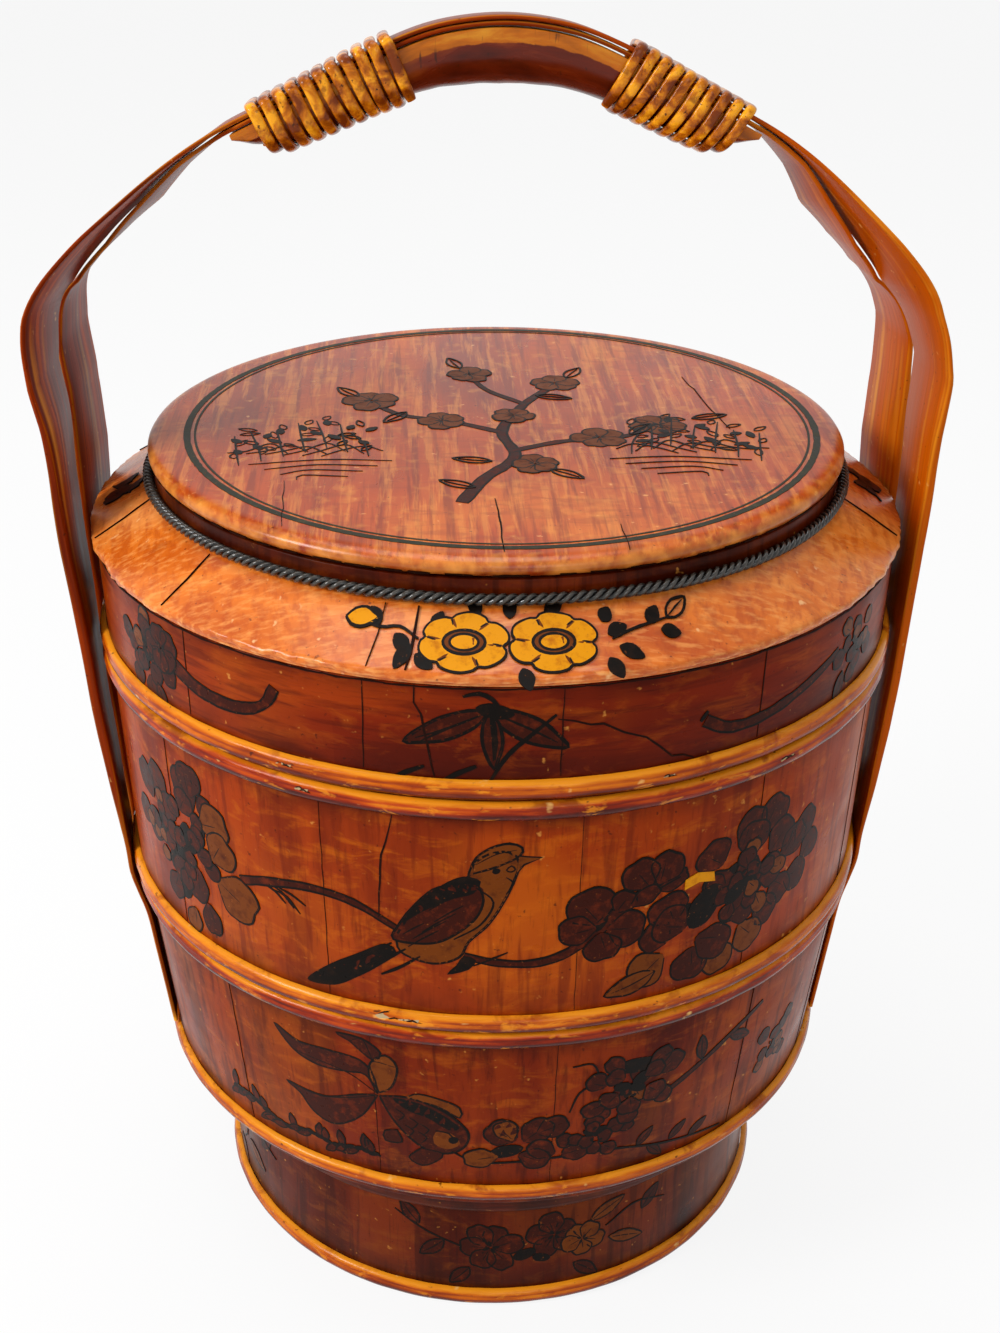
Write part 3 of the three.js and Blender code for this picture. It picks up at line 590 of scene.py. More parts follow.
def finishes():
    """Every finish of the basket, made once."""
    if FINISHES:
        return FINISHES
    tints = bpy.context.scene.basket_colours
    wall, dark = (*tints.wall, 1), (*tints.wall_dark, 1)
    for key, name, tones, ends, *grain in (
            ("middle", "Middle tier lacquer", (dark, wall, "#983402", "#c26008"), (201, 297)),
            ("bottom", "Bottom tier lacquer", ("#430d01", "#661801", "#842c03", "#a85006"), (98, 183),
             UPRIGHT, 0.4),
            ("lid", "Lid wall lacquer", ("#511001", "#741d01", "#8e3003", "#a04606"), (315, 355),
             (0.12, 0.12, 1.2), 0.7),
            ("foot", "Foot lacquer", ("#310a02", "#521604", "#6c2608", "#7e3c0a"), (9, 80), UPRIGHT, 0.2),
            ("neck", "Neck lacquer", ("#340b02", "#541603", "#722506", "#84380a"), (376, 388)),
            ("collar", "Collar lacquer", ("#380d03", "#5c1a05", "#702608", "#7c3a0a"), (75, 96),
             (0.2, 0.2, 3))):
        FINISHES[key] = lacquered_wall(name, [paint(tone) for tone in tones], ends, *grain)
    for key, name, tones in (
            # Each hoop's first tone is painted shade for the underside and its fourth is painted highlight
            # for the top; worn patches take that highlight tone too.
            ("gold_hoop", "Golden hoop", ("#5c1401", "#9a3a04", "#c86006", "#ec921c", "#902a04")),
            ("red_hoop", "Red hoop", ("#480c01", "#882203", "#b84406", "#e88c18", "#741a04"))):
        FINISHES[key] = hoop_finish(name, *[paint(tone) for tone in tones])
    FINISHES["shoulder"] = shoulder_finish("Shoulder lacquer")
    FINISHES["top"] = top_finish("Lid board lacquer")
    FINISHES["lath"] = lath_finish(
        "Lath lacquer", *[paint(tone) for tone in ("#561300", "#963200", "#cc5e00", "#eea028")])
    FINISHES["grip"] = grip_finish("Grip lacquer")
    FINISHES["cane"] = cane_finish("Cane")
    FINISHES["rope"] = rope_finish("Dark cord")
    FINISHES["inner"] = inner_finish("Inner wood")
    for key, name, tone, thin_tone, *amounts in (
            ("line", "Black brushed line", "#100b08", "#2c1a10"),
            ("ring", "Grey-green ring", "#2b2c20", "#55503a", 0.6),
            ("wash", "Dark wash", "#360f05", "#64220a", 1.0),
            ("gold_wash", "Golden wash", "#6a3206", "#481a05", 1.0),
            ("yellow", "Yellow blossom", "#d88c04", "#a85808", 0.9),
            # The open joint's dark paint also lays the lines of painted shade under the shoulder and under
            # the lid board's rim.
            ("crack", "Open joint", "#1c0803", "#3a1206", 0.5, 0.6),
            ("chip", "Torn splinter", "#b39a72", "#7c6a4c", 0.8, 0.7)):
        FINISHES[key] = painted_line(name, paint(tone), paint(thin_tone), *amounts)
    return FINISHES


# Turned pieces


def wall_profile(wall):
    """A wall of upright boards, its edges a little rounded."""
    return eased([(wall.low_radius - BOARD, wall.low), (wall.low_radius, wall.low),
                  (wall.high_radius, wall.high), (wall.high_radius - BOARD, wall.high)], 0.7)


def hoop_profile(wall, low):
    """Half round bamboo with a shallow groove along its middle."""
    high = low + HOOP_HIGH
    points = [(wall.radius(low) + 0.15, low + 0.2)]
    for i in range(13):
        share = i / 12
        height = low + 0.2 + (HOOP_HIGH - 0.4) * share
        swell = abs(math.sin(math.pi * share)) ** 0.45 * HOOP_THICK
        groove = 0.45 * math.exp(-((share - 0.62) / 0.06) ** 2)
        points.append((wall.radius(height) + GAP + max(swell - groove, 0.35), height))
    points.append((wall.radius(high) + 0.15, high - 0.2))
    return points


def floor_profile(wall, lift):
    """A round floor inside a wall, lifted off the wall's lower rim."""
    low = wall.low + lift
    high = low + BOARD
    inner = [wall.radius(height) - BOARD - GAP for height in (low, high)]
    return [(0, low), (inner[0] - 0.6, low), (inner[0], low + 0.6), (inner[1], high - 0.6),
            (inner[1] - 0.6, high), (0, high)]


def lip_profile(wall):
    """The ring inside a tier's rim that stands up into the next piece."""
    low, top = wall.high - LIP_DEEP, wall.high + LIP_PROUD
    outer = wall.high_radius - BOARD - GAP
    return eased([(outer - 6, low), (wall.radius(low) - BOARD - GAP, low), (outer, wall.high),
                  (outer, top), (outer - 6, top)], 1.4)


def collar_profile():
    """The moulding under the bottom tier, flared to the top."""
    inner, outer = FOOT_RADIUS + GAP, FOOT_RADIUS + COLLAR_PROUD
    return eased([(inner, 60), (outer - 1.5, 60.7), (outer, 64), (outer, 70), (outer + 1.6, 75),
                  (outer + 0.3 * COLLAR_FLARE + 2, 79.5), (outer + COLLAR_FLARE, 83),
                  (outer + COLLAR_FLARE, FOOT_HIGH), (inner, FOOT_HIGH)], 1.5)


def shoulder_profile():
    """The lid's sloping board ring, with extra points near its worn outer edge."""
    step = SHOULDER_SEAT + 2
    steps = (0, .04, .1, .3, .6, .9)
    slope = [(SHOULDER_EDGE - 0.6 - 29.4 * t, SHOULDER_LOW - 0.1 + 17.7 * t) for t in steps]
    return [(169.3, SHOULDER_SEAT), (178.5, SHOULDER_SEAT), (178.5, step), (180.2, step),
            (SHOULDER_EDGE, step + 0.5), (SHOULDER_EDGE, step + 1.3), (SHOULDER_EDGE, SHOULDER_LOW - 0.9),
            *slope,
            (SHOULDER_CREST + 0.3, SHOULDER_TOP - 0.1), (SHOULDER_CREST - 0.6, SHOULDER_TOP),
            (142, SHOULDER_TOP), (142, SHOULDER_TOP - BOARD)]


def top_profile():
    """The lid's round board with its rolled edge."""
    roll = ((6.5, 0), (3.6, 0.3), (1.7, 1.3), (0.5, 2.6), (0, 4), (0.2, 5.4), (1.1, 6.7), (2.6, 7.6),
            (4.6, 8.2))
    rim = [(TOP_RADIUS - inset, TOP_LOW + rise) for inset, rise in roll]
    return [(0, TOP_LOW), *rim, (TOP_RADIUS - 7.2, TOP_HIGH), (0, TOP_HIGH)]


# The handle

ROUTE = [
    (0, CROWN), (17, CROWN - 1.3), (32.4, CROWN - 4.7), (55.2, CROWN - 14), (76.1, CROWN - 24.9),
    (98.1, CROWN - 36), (113.1, CROWN - 43.7), (130.2, CROWN - 54.2), (151.3, CROWN - 69.6),
    (170.9, CROWN - 86.6), (184, TOP_HIGH + 68.8), (188.8, TOP_HIGH + 53), (188.9, TOP_HIGH + 35),
    (186.8, TOP_HIGH + 10), (186.4, TOP_HIGH - 20), (185.3, TOP_HIGH - 50), (183.8, SECOND_RIM + 4),
    (182.2, SECOND_RIM - 36), (KNEE + 3.3, FIRST_RIM + 36.6), (KNEE + 0.7, FIRST_RIM + 8.6),
    (KNEE - 0.2, FIRST_RIM - 4.4), (KNEE - 2.9, FIRST_RIM - 15.4), (KNEE - 6.1, FIRST_RIM - 27.4),
    (KNEE - 9, FIRST_RIM - 49.4), (161.2, 99.2),
]
LATH_THICK = [(205.4, 1.9), (232.4, 3.4), (261.9, 4.2), (360, 4.2), (400, 3.4), (434, 2.2), (479.8, 1.8)]
LATH_WIDTH = [(200.4, 40), (299.9, 43), (430, 46), (479.8, 44), (523.8, 31)]
LATH_MIDDLE = [(200.4, 23), (299.9, 25), (430, 27.5), (466, 22.6), (499.8, 10.5), (526.8, 0)]
# How far the front and the rear edge of each lath lie toward the inside of the bend, by height
FRONT_LATH_TWIST = (
    [(200.4, 2.6), (269.9, 2.2), (329.9, 1.1), (388, 0), (428, -1.6), (449, -0.6), (466, 0)],
    [(200.4, -2.6), (269.9, -2.2), (329.9, -1.1), (388, 0), (428, 1.6), (449, 7.3), (465.8, 12.3),
     (483.8, 11), (499.8, 8), (511.8, 3.5), (523.8, 0)],
)
BACK_LATH_TWIST = (
    [(200.4, -2.6), (269.9, -2.2), (329.9, -1.1), (374, 0), (403, 0), (430, 1.6), (449, 7.5), (465.8, 14.4),
     (483.8, 13.5), (499.8, 8.2), (511.8, 3.7), (523.8, 2.3)],
    [(200.4, 2.6), (269.9, 2.2), (329.9, 2.5), (374, 5.5), (403, 4.5), (430, 6), (449, 11.5), (465.8, 16.5),
     (483.8, 17.4), (499.8, 15), (511.8, 7.2), (523.8, 2.3)],
)
# The back lath lies inside the front one at the crown, and the left side twists less above the knee
BACK_LATH_INSET = 2.3
LEFT_EASED = 0.22
LEFT_EASED_FROM = TOP_HIGH + 35
LEFT_EASED_SPAN = 25
# How far the handle leans toward +X, by height
LEAN = [(239.9, 0), (309.9, -0.5), (353, -1.5), (410, -1.7), (430, -3), (455, -6), (486.8, -4.4),
        (529.8, -0.4), (554.8, 1.4)]
ROLL = 0.087
ROLL_HALF = 115
ROLL_FADE = 50
GRIP_HALF = 119
GRIP_WIDE = 17
GRIP_BAND = 5.8
GRIP_TOP = 3.8
GRIP_THICK = [(0, 22.5), (20, 21.7), (54, 18.6), (100, 14.8), (112, 8.7), (119, 3.2)]
CANE_WIDE = 4.7
CANE_THICK = 3
CANE_PITCH = 5.85
CANE_CLEAR = 0.55
CANE_CUT_ANGLE = 50
WRAP_TOP_POWER = 6
WRAP_LOW_POWER = 3.3
# Each winding: its side, its first turn's distance from the handle's middle, and its turns
WINDINGS = (("left", -1, 46, 10.7), ("right", 1, 54, 9.7))


def bent_line():
    """The handle's middle line, left foot to right foot, as many short even steps."""
    right = [Vector((x, 0, z)) for x, z in ROUTE]
    points = [Vector((-p.x, 0, p.z)) for p in right[:0:-1]] + right
    fine = []
    for i in range(len(points) - 1):
        p0 = points[i - 1] if i else points[0] * 2 - points[1]
        p1, p2 = points[i], points[i + 1]
        p3 = points[i + 2] if i + 2 < len(points) else points[-1] * 2 - points[-2]
        d0, d1, d2 = [max((b - a).length, 1e-4) ** 0.5 for a, b in ((p0, p1), (p1, p2), (p2, p3))]
        t1 = ((p1 - p0) / d0 - (p2 - p0) / (d0 + d1) + (p2 - p1) / d1) * d1
        t2 = ((p2 - p1) / d1 - (p3 - p1) / (d1 + d2) + (p3 - p2) / d2) * d1
        for k in range(40):
            t = k / 40
            fine.append(p1 + t1 * t + (-3 * p1 + 3 * p2 - 2 * t1 - t2) * t ** 2
                        + (2 * p1 - 2 * p2 + t1 + t2) * t ** 3)
    fine.append(points[-1])
    lengths = [0.0]
    for a, b in zip(fine, fine[1:]):
        lengths.append(lengths[-1] + (b - a).length)
    return fine, lengths


LINE, LENGTHS = bent_line()
HANDLE_LONG = LENGTHS[-1]


def station(distance):
    """Place, run and outward direction at a distance along the handle from its middle."""
    want = min(max(HANDLE_LONG / 2 + distance, 0.001), HANDLE_LONG - 0.001)
    low, high = 0, len(LENGTHS) - 1
    while high - low > 1:
        middle = (low + high) // 2
        if LENGTHS[middle] <= want:
            low = middle
        else:
            high = middle
    share = (want - LENGTHS[low]) / (LENGTHS[low + 1] - LENGTHS[low])
    place = LINE[low].lerp(LINE[low + 1], share)
    back, ahead = LINE[max(low - 2, 0)], LINE[min(low + 3, len(LINE) - 1)]
    run = (ahead - back).normalized()
    return place, run, Vector((-run.z, 0, run.x))


def leaned(point):
    """Lean a point of the handle and tip the top, as the bent one does."""
    share = min(max((abs(point.x) - ROLL_HALF) / ROLL_FADE, 0), 1)
    hold = 1 - share * share * (3 - 2 * share)
    point.x += along(LEAN, point.z)
    point.z -= ROLL * hold * point.y
    return point


def rounded_section(wide, thick, corner, cuts=3):
    """A flat section with rounded corners, as (across, through) points round it."""
    points = []
    for sx, sy, start in ((1, 1, 0), (-1, 1, 90), (-1, -1, 180), (1, -1, 270)):
        for k in range(cuts + 1):
            angle = math.radians(start + 90 * k / cuts)
            points.append((sx * (wide / 2 - corner) + corner * math.cos(angle),
                           sy * (thick / 2 - corner) + corner * math.sin(angle)))
    return points


def skin(name, rings, closed=False):
    """A tube skinned over rings of points, capped at its ends unless it closes on itself."""
    count, around = len(rings), len(rings[0])
    faces = []
    for i in range(count if closed else count - 1):
        a, b = i * around, ((i + 1) % count) * around
        for k in range(around):
            n = (k + 1) % around
            faces.append((a + k, a + n, b + n, b + k))
    if not closed:
        faces.append(tuple(range(around))[::-1])
        faces.append(tuple((count - 1) * around + k for k in range(around)))
    return faced_out(new_piece(name, [p for ring in rings for p in ring], faces))


def mark_way(piece, values):
    """Store where each point lies on its piece: along, below or across, and through."""
    way = piece.data.attributes.new("way", "FLOAT_VECTOR", "POINT")
    way.data.foreach_set("vector", [c * MM for value in values for c in value])


def lath_piece(name, front):
    """One bent lath in one length, from foot to foot. front is -1 for the nearer one."""
    rings, marks = [], []
    twist, stacked = (FRONT_LATH_TWIST, 0) if front < 0 else (BACK_LATH_TWIST, BACK_LATH_INSET)
    steps = int(HANDLE_LONG / 3.2)
    for i in range(steps + 1):
        distance = HANDLE_LONG * (i / steps - 0.5)
        place, _, out = station(distance)
        height = place.z
        thick, wide = along(LATH_THICK, height), along(LATH_WIDTH, height)
        rise = min(max((height - LEFT_EASED_FROM) / LEFT_EASED_SPAN, 0), 1) if place.x < 0 else 0
        weaker = 1 - LEFT_EASED * rise * rise * (3 - 2 * rise)
        front_inset, rear_inset = [stacked + weaker * (along(table, height) - stacked) for table in twist]
        span = math.sqrt(wide ** 2 - (rear_inset - front_inset) ** 2)
        middle = along(LATH_MIDDLE, height)
        ring = []
        for across, through in rounded_section(wide, thick, min(0.42 * thick, 1.1)):
            wobble = 0.25 * noise.noise(Vector((distance / 26, front * 9, across / 9)))
            share = across / wide
            inset = front_inset + (rear_inset - front_inset) * (share + 0.5)
            depth = through - inset + wobble * (1 if thick > 2.5 else 0.3)
            point = Vector((place.x + out.x * depth, front * middle + share * span, place.z + out.z * depth))
            ring.append(leaned(point))
            marks.append((distance, across, through + 40 * front))
        rings.append(ring)
    piece = skin(name, rings)
    mark_way(piece, marks)
    return piece


def grip_piece(name):
    """The wooden block between the laths and the hand: a flat band over a round underside.

    Its outline is (across, below): below runs from 0 to 1 down the band, and on to 2 round the underside."""
    side = (0.04, 0.3, 0.6, 0.96)
    under = [(math.cos(math.pi * k / 20), 1 + math.sin(math.pi * k / 20)) for k in range(1, 20)]
    outline = [(0.96, 0), *[(1, t) for t in side], *under, *[(-1, t) for t in side[::-1]], (-0.96, 0)]
    rings, marks = [], []
    steps = 110
    for i in range(steps + 1):
        distance = GRIP_HALF * (2 * i / steps - 1)
        place, _, out = station(distance)
        thick = along(GRIP_THICK, abs(distance))
        band = min(GRIP_BAND, 0.6 * thick)
        ring = []
        for across, below in outline:
            drop = below * band if below <= 1 else band + (below - 1) * (thick - band)
            rag = 0.18 * noise.noise(Vector((distance / 7, across * 3, below * 4)))
            point = place - out * (GRIP_TOP + 0.1 + drop + (rag if below > 0.5 else 0))
            point.y = across * (GRIP_WIDE + (rag if below <= 1 else 0))
            ring.append(leaned(point))
            marks.append((distance, drop, across * 6))
        rings.append(ring)
    piece = skin(name, rings)
    mark_way(piece, marks)
    return piece


def cane_middle(side, start, angle):
    """Middle line of a winding at a turn angle, counted from the underside and up the front."""
    distance = start + CANE_PITCH * angle / (2 * math.pi)
    place, run, out = station(side * distance)
    stand = CANE_THICK / 2 + CANE_CLEAR
    up = -math.cos(angle)
    half_lath = LATH_THICK[-1][1] / 2
    high = half_lath + stand + GRIP_TOP if up > 0 else along(GRIP_THICK, distance) + stand
    power = WRAP_TOP_POWER if up > 0 else WRAP_LOW_POWER

    def squared(value):
        return math.copysign(abs(value) ** (2 / power), value)

    point = place + out * (squared(up) * high - GRIP_TOP)
    point.y = -squared(math.sin(angle)) * (GRIP_WIDE + stand)
    return point, run


def winding_piece(name, side, start, turns):
    """One winding of a single flattened cane, with both cut ends laid straight."""
    steps = 60
    count = round(turns * steps)
    first = math.radians(CANE_CUT_ANGLE)
    line = [cane_middle(side, start, first + i * 2 * math.pi / steps) for i in range(count + 1)]
    for end, other in ((0, 1), (-1, -2)):
        reach = (line[end][0] - line[other][0]).normalized() * CANE_WIDE
        extra = [(line[end][0] + reach * t, line[end][1]) for t in (0.5, 1.0)]
        line = extra[::-1] + line if end == 0 else line + extra
    rings = []
    for i, (middle, run) in enumerate(line):
        before, after = line[max(i - 1, 0)][0], line[min(i + 1, len(line) - 1)][0]
        heading = (after - before).normalized()
        across = (run - heading * run.dot(heading)).normalized()
        outward = heading.cross(across)
        tip = min(i, len(line) - 1 - i)
        pinch = (0.8, 0.95)[tip] if tip < 2 else 1
        swell = 1 + 0.05 * noise.noise(Vector((i / 9, side * 4, start)))
        ring = []
        for k in range(14):
            angle = 2 * math.pi * k / 14
            c, s = math.cos(angle), math.sin(angle)
            wide = math.copysign(abs(c) ** 0.8, c) * CANE_WIDE / 2 * pinch
            thick = math.copysign(abs(s) ** 0.8, s) * CANE_THICK / 2 * pinch * swell
            ring.append(leaned(middle + across * wide + outward * thick))
        rings.append(ring)
    return skin(name, rings)


# Painted motifs

PAINT_LEAST = 0.2
PAINT_STEP = 0.0012
PAINT_SUNK = 0.35
SHOULDER_DRAWN = 166


class Canvas:
    """A surface that is painted: it turns a flat drawing's points into points on the piece.

    A wall's drawing is measured in millimetres from its front line and up from the floor."""

    def __init__(self, wall=None, kind="wall", low=0):
        self.wall, self.kind, self.low = wall, kind, low

    def lift(self, x, y, proud):
        if self.kind == "top":
            return Vector((x, y, TOP_HIGH + proud))
        if self.kind == "shoulder":
            angle = FRONT + x / SHOULDER_DRAWN
            reach = SHOULDER_EDGE - y
            height = SHOULDER_LOW + SHOULDER_SLOPE * (SHOULDER_EDGE - reach)
            tilt = Vector((SHOULDER_SLOPE, 1)).normalized()
            reach += tilt.x * proud
            return Vector((reach * math.cos(angle), reach * math.sin(angle), height + tilt.y * proud))
        if self.kind == "rim":
            angle = FRONT + x / TOP_RADIUS
            reach = TOP_RADIUS - 0.35 * max(0, TOP_LOW + 4 - y) + proud
            return Vector((reach * math.cos(angle), reach * math.sin(angle), y))
        angle = FRONT + x / self.wall.high_radius
        reach = self.wall.radius(y) + proud
        if self.kind == "hoop":
            share = (y - self.low) / HOOP_HIGH * 2 - 1
            reach += HOOP_THICK * math.sqrt(max(0, 1 - share * share))
        return Vector((reach * math.cos(angle), reach * math.sin(angle), y))


def curve_through(points, step=2.5, closed=False):
    """A smooth line through points, in short even steps."""
    points = [Vector(p) for p in points]
    count = len(points)
    if count < 3 and not closed:
        return [points[0].lerp(points[1], k / 4) for k in range(5)]
    line = []
    for i in range(count if closed else count - 1):
        if closed:
            p0, p1, p2, p3 = (points[(i + k) % count] for k in (-1, 0, 1, 2))
        else:
            p1, p2 = points[i], points[i + 1]
            p0 = points[i - 1] if i else p1 * 2 - p2
            p3 = points[i + 2] if i + 2 < count else p2 * 2 - p1
        cuts = max(2, int((p2 - p1).length / step))
        for k in range(cuts):
            t = k / cuts
            line.append(0.5 * (2 * p1 + (p2 - p0) * t + (2 * p0 - 5 * p1 + 4 * p2 - p3) * t ** 2
                               + (3 * p1 - p0 - 3 * p2 + p3) * t ** 3))
    if not closed:
        line.append(points[-1])
    return line


class Painting:
    """Brush lines and filled shapes for one canvas and one paint, gathered into one thin skin."""

    def __init__(self, canvas, strokes=None):
        self.canvas = canvas
        self.points, self.faces = [], []
        self.strokes = strokes if strokes is not None else [0]
        self.shift = 0

    def proud(self):
        """How far the next stroke stands out: each lies a little over the one before."""
        self.strokes[0] += 1
        return PAINT_LEAST + PAINT_STEP * (self.strokes[0] % 200)

    def brush(self, points, width=1.6, taper=0.5, closed=False, step=2.2, smooth=True):
        """A brushed line that swells in its middle and thins to its ends."""
        points = [(x + self.shift, y) for x, y in points]
        line = curve_through(points, step, closed) if smooth else [Vector(p) for p in points]
        count = len(line)
        if count < 2:
            return
        proud = self.proud()
        start = len(self.points)
        for i, point in enumerate(line):
            if closed:
                run = line[(i + 1) % count] - line[i - 1]
                share = 1.0
            else:
                run = line[min(i + 1, count - 1)] - line[max(i - 1, 0)]
                share = 1 - taper + taper * math.sin(math.pi * min(max(i / (count - 1), 0.02), 0.98)) ** 0.6
            run = run.normalized() if run.length > 1e-9 else Vector((1, 0))
            side = Vector((-run.y, run.x)) * width * share / 2
            side *= 1 + 0.22 * noise.noise(Vector((point.x / 3.1, point.y / 3.1, width)))
            for offset, rise in ((side, -PAINT_SUNK), (side, proud), (-side, proud), (-side, -PAINT_SUNK)):
                self.points.append(self.canvas.lift(point.x + offset.x, point.y + offset.y, rise))
        for i in range(count if closed else count - 1):
            a, b = start + 4 * i, start + 4 * ((i + 1) % count)
            for k in range(4):
                n = (k + 1) % 4
                self.faces.append((a + k, b + k, b + n, a + n))
        if not closed:
            last = start + 4 * (count - 1)
            self.faces.append((start, start + 1, start + 2, start + 3))
            self.faces.append((last + 3, last + 2, last + 1, last))

    def fill(self, points, grid=4.5, smooth=True):
        """A filled shape: its outline is laid on the surface over a fine net of points."""
        points = [(x + self.shift, y) for x, y in points]
        outline = curve_through(points, 2.4, True) if smooth else [Vector(p) for p in points]
        proud = self.proud()
        low_x, high_x = min(p.x for p in outline), max(p.x for p in outline)
        low_y, high_y = min(p.y for p in outline), max(p.y for p in outline)
        net = []
        for i in range(int((high_x - low_x) / grid) + 1):
            for j in range(int((high_y - low_y) / grid) + 1):
                spot = Vector((low_x + grid * (i + 0.5 * (j % 2)), low_y + grid * j))
                if inside(spot, outline) and min((spot - p).length for p in outline) > 1.2:
                    net.append(spot)
        count = len(outline)
        loop = [(i, (i + 1) % count) for i in range(count)]
        spots, _, triangles, *_ = geometry.delaunay_2d_cdt(outline + net, loop, [], 1, 1e-5)
        if not triangles:
            return
        start, total = len(self.points), len(spots)
        for rise in (proud, -PAINT_SUNK):
            for spot in spots:
                self.points.append(self.canvas.lift(spot.x, spot.y, rise))
        uses = {}
        for triangle in triangles:
            self.faces.append(tuple(start + i for i in triangle))
            self.faces.append(tuple(start + total + i for i in reversed(triangle)))
            for a, b in zip(triangle, (*triangle[1:], triangle[0])):
                uses[(a, b)] = True
        for a, b in uses:
            if (b, a) not in uses:
                self.faces.append((start + b, start + a, start + total + a, start + total + b))

    def laid(self, name, body, slot, material):
        """The finished skin of paint as one piece on its body."""
        if not self.faces:
            return None
        return settle(faced_out(new_piece(name, self.points, self.faces)), body, (), material, 60)


def inside(spot, outline):
    """Whether a spot lies inside a closed outline."""
    hit = False
    for a, b in zip(outline, outline[1:] + outline[:1]):
        if (a.y > spot.y) != (b.y > spot.y) and spot.x < (b.x - a.x) * (spot.y - a.y) / (b.y - a.y) + a.x:
            hit = not hit
    return hit


def turned_point(centre, angle, x, y):
    """A point at (x, y) from a centre once its drawing is turned."""
    c, s = math.cos(angle), math.sin(angle)
    return (centre[0] + c * x - s * y, centre[1] + s * x + c * y)


class Motifs:
    """The painter's motifs for one surface: lines, dark washes, golden washes and yellow."""

    def __init__(self, canvas, seed):
        self.strokes = [0]
        self.pots = [Painting(canvas, self.strokes) for _ in range(4)]
        self.wash, self.gold, self.yellow, self.line = self.pots
        self.dice = random.Random(seed)

    def move(self, shift, fresh=True):
        """Go on with drawing at a distance along the wall, over bare lacquer unless told otherwise."""
        for pot in self.pots:
            pot.shift = shift
        if fresh:
            self.strokes[0] = 0

    def shape(self, pot, points, line=1.2, taper=0.2):
        """A filled shape with its outline."""
        pot.fill(points)
        self.line.brush([*points, points[0]], line, taper)

    def petal(self, centre, angle, long, wide, pot, line=1.0, cleft=0.12):
        """One broad petal with a cleft tip, from its base at the centre outward, and a vein or two."""
        dice = self.dice
        points = [turned_point(centre, angle, 0.08 * long, -0.1 * wide)]
        for k in range(9):
            t = k / 8
            bend = math.radians(-112 + 224 * t)
            swell = 1 + dice.uniform(-0.05, 0.05) - (cleft if k == 4 else 0)
            points.append(turned_point(centre, angle, 0.55 * long + 0.45 * long * swell * math.cos(bend),
                                       0.5 * wide * swell * math.sin(bend)))
        points.append(turned_point(centre, angle, 0.08 * long, 0.1 * wide))
        if pot:
            pot.fill(points)
        self.line.brush(points, line, 0.5)
        if long > 9:
            lean = dice.uniform(-0.15, 0.15)
            self.line.brush([turned_point(centre, angle, 0.15 * long, 0),
                             turned_point(centre, angle + lean, 0.6 * long, 0.05 * wide)], 0.5, 0.8)

    def blossom(self, centre, size, petals=5, pot=None, turn=0.0, squash=1.0, heart=True):
        """A flower of broad petals about a small heart."""
        order = list(range(petals))
        self.dice.shuffle(order)
        for k in order:
            angle = turn + 2 * math.pi * k / petals + self.dice.uniform(-0.14, 0.14)
            reach = size * (1 - (1 - squash) * abs(math.sin(angle))) * self.dice.uniform(0.88, 1.1)
            self.petal(centre, angle, reach, size * 5.2 / (petals + 0.6), pot or self.wash)
        if heart:
            for k in range(4):
                angle = turn + 1.7 * k
                self.blot(turned_point(centre, angle, 0.16 * size, 0), angle, 0.24 * size, 0.12 * size)

    def leaf(self, centre, angle, long, wide, pot=None, vein=True, line=1.0):
        """A pointed leaf with a vein."""
        points = [turned_point(centre, angle, long * x, wide * y) for x, y in
                  ((0, 0), (0.22, 0.4), (0.55, 0.5), (0.82, 0.26), (1, 0), (0.78, -0.3), (0.5, -0.46),
                   (0.2, -0.34))]
        if pot:
            pot.fill(points)
        self.line.brush([*points, points[0]], line, 0.3)
        if vein:
            self.line.brush([points[0], turned_point(centre, angle, 0.5 * long, 0.05 * wide),
                             turned_point(centre, angle, 0.86 * long, 0)], line * 0.7, 0.8)

    def blot(self, centre, angle, long, wide, pot=None):
        """A solid dab of the brush."""
        points = [turned_point(centre, angle, long * x, wide * y) for x, y in
                  ((-0.5, 0), (-0.2, 0.5), (0.3, 0.42), (0.5, 0), (0.25, -0.45), (-0.25, -0.5))]
        (pot or self.line).fill(points)

    def head(self, petals, blots=()):
        """A crowded flower head: dark dabs first, then petals, golden where a sixth number stands."""
        for x, z, long, wide, angle in blots:
            self.blot((x, z), angle, long, wide)
        for x, z, angle, long, wide, *gold in petals:
            self.petal((x, z), angle, long, wide * (1.4 if wide < 15 else 1.1),
                       self.gold if gold else self.wash)

    def pile(self, centre, size, petals, squash=1.0):
        """A heap of petals that point out from its middle, the outer ones laid first."""
        dice = self.dice
        for reach, share, long in ((0.62, 0.45, 0.62), (0.34, 0.35, 0.56), (0.08, 0.2, 0.5)):
            count = max(3, round(petals * share))
            turn = dice.uniform(0, 6)
            for k in range(count):
                angle = turn + 2 * math.pi * k / count + dice.uniform(-0.25, 0.25)
                spot = (centre[0] + size * reach * math.cos(angle),
                        centre[1] + squash * size * reach * math.sin(angle))
                self.petal(spot, angle + dice.uniform(-0.5, 0.5), size * long * dice.uniform(0.8, 1.15),
                           size * 0.5 * dice.uniform(0.85, 1.2),
                           self.wash if dice.random() < 0.75 else self.gold)
            if reach > 0.2:
                for k in range(count // 2 + 1):
                    angle = dice.uniform(0, 6.28)
                    self.blot((centre[0] + size * 0.4 * reach * math.cos(angle),
                               centre[1] + squash * size * 0.4 * reach * math.sin(angle)),
                              angle, size * 0.42, size * 0.24)
        for k in range(5):
            self.blot((centre[0] + dice.uniform(-0.3, 0.3) * size,
                       centre[1] + dice.uniform(-0.3, 0.3) * size),
                      dice.uniform(0, 3), 0.16 * size, 0.09 * size)

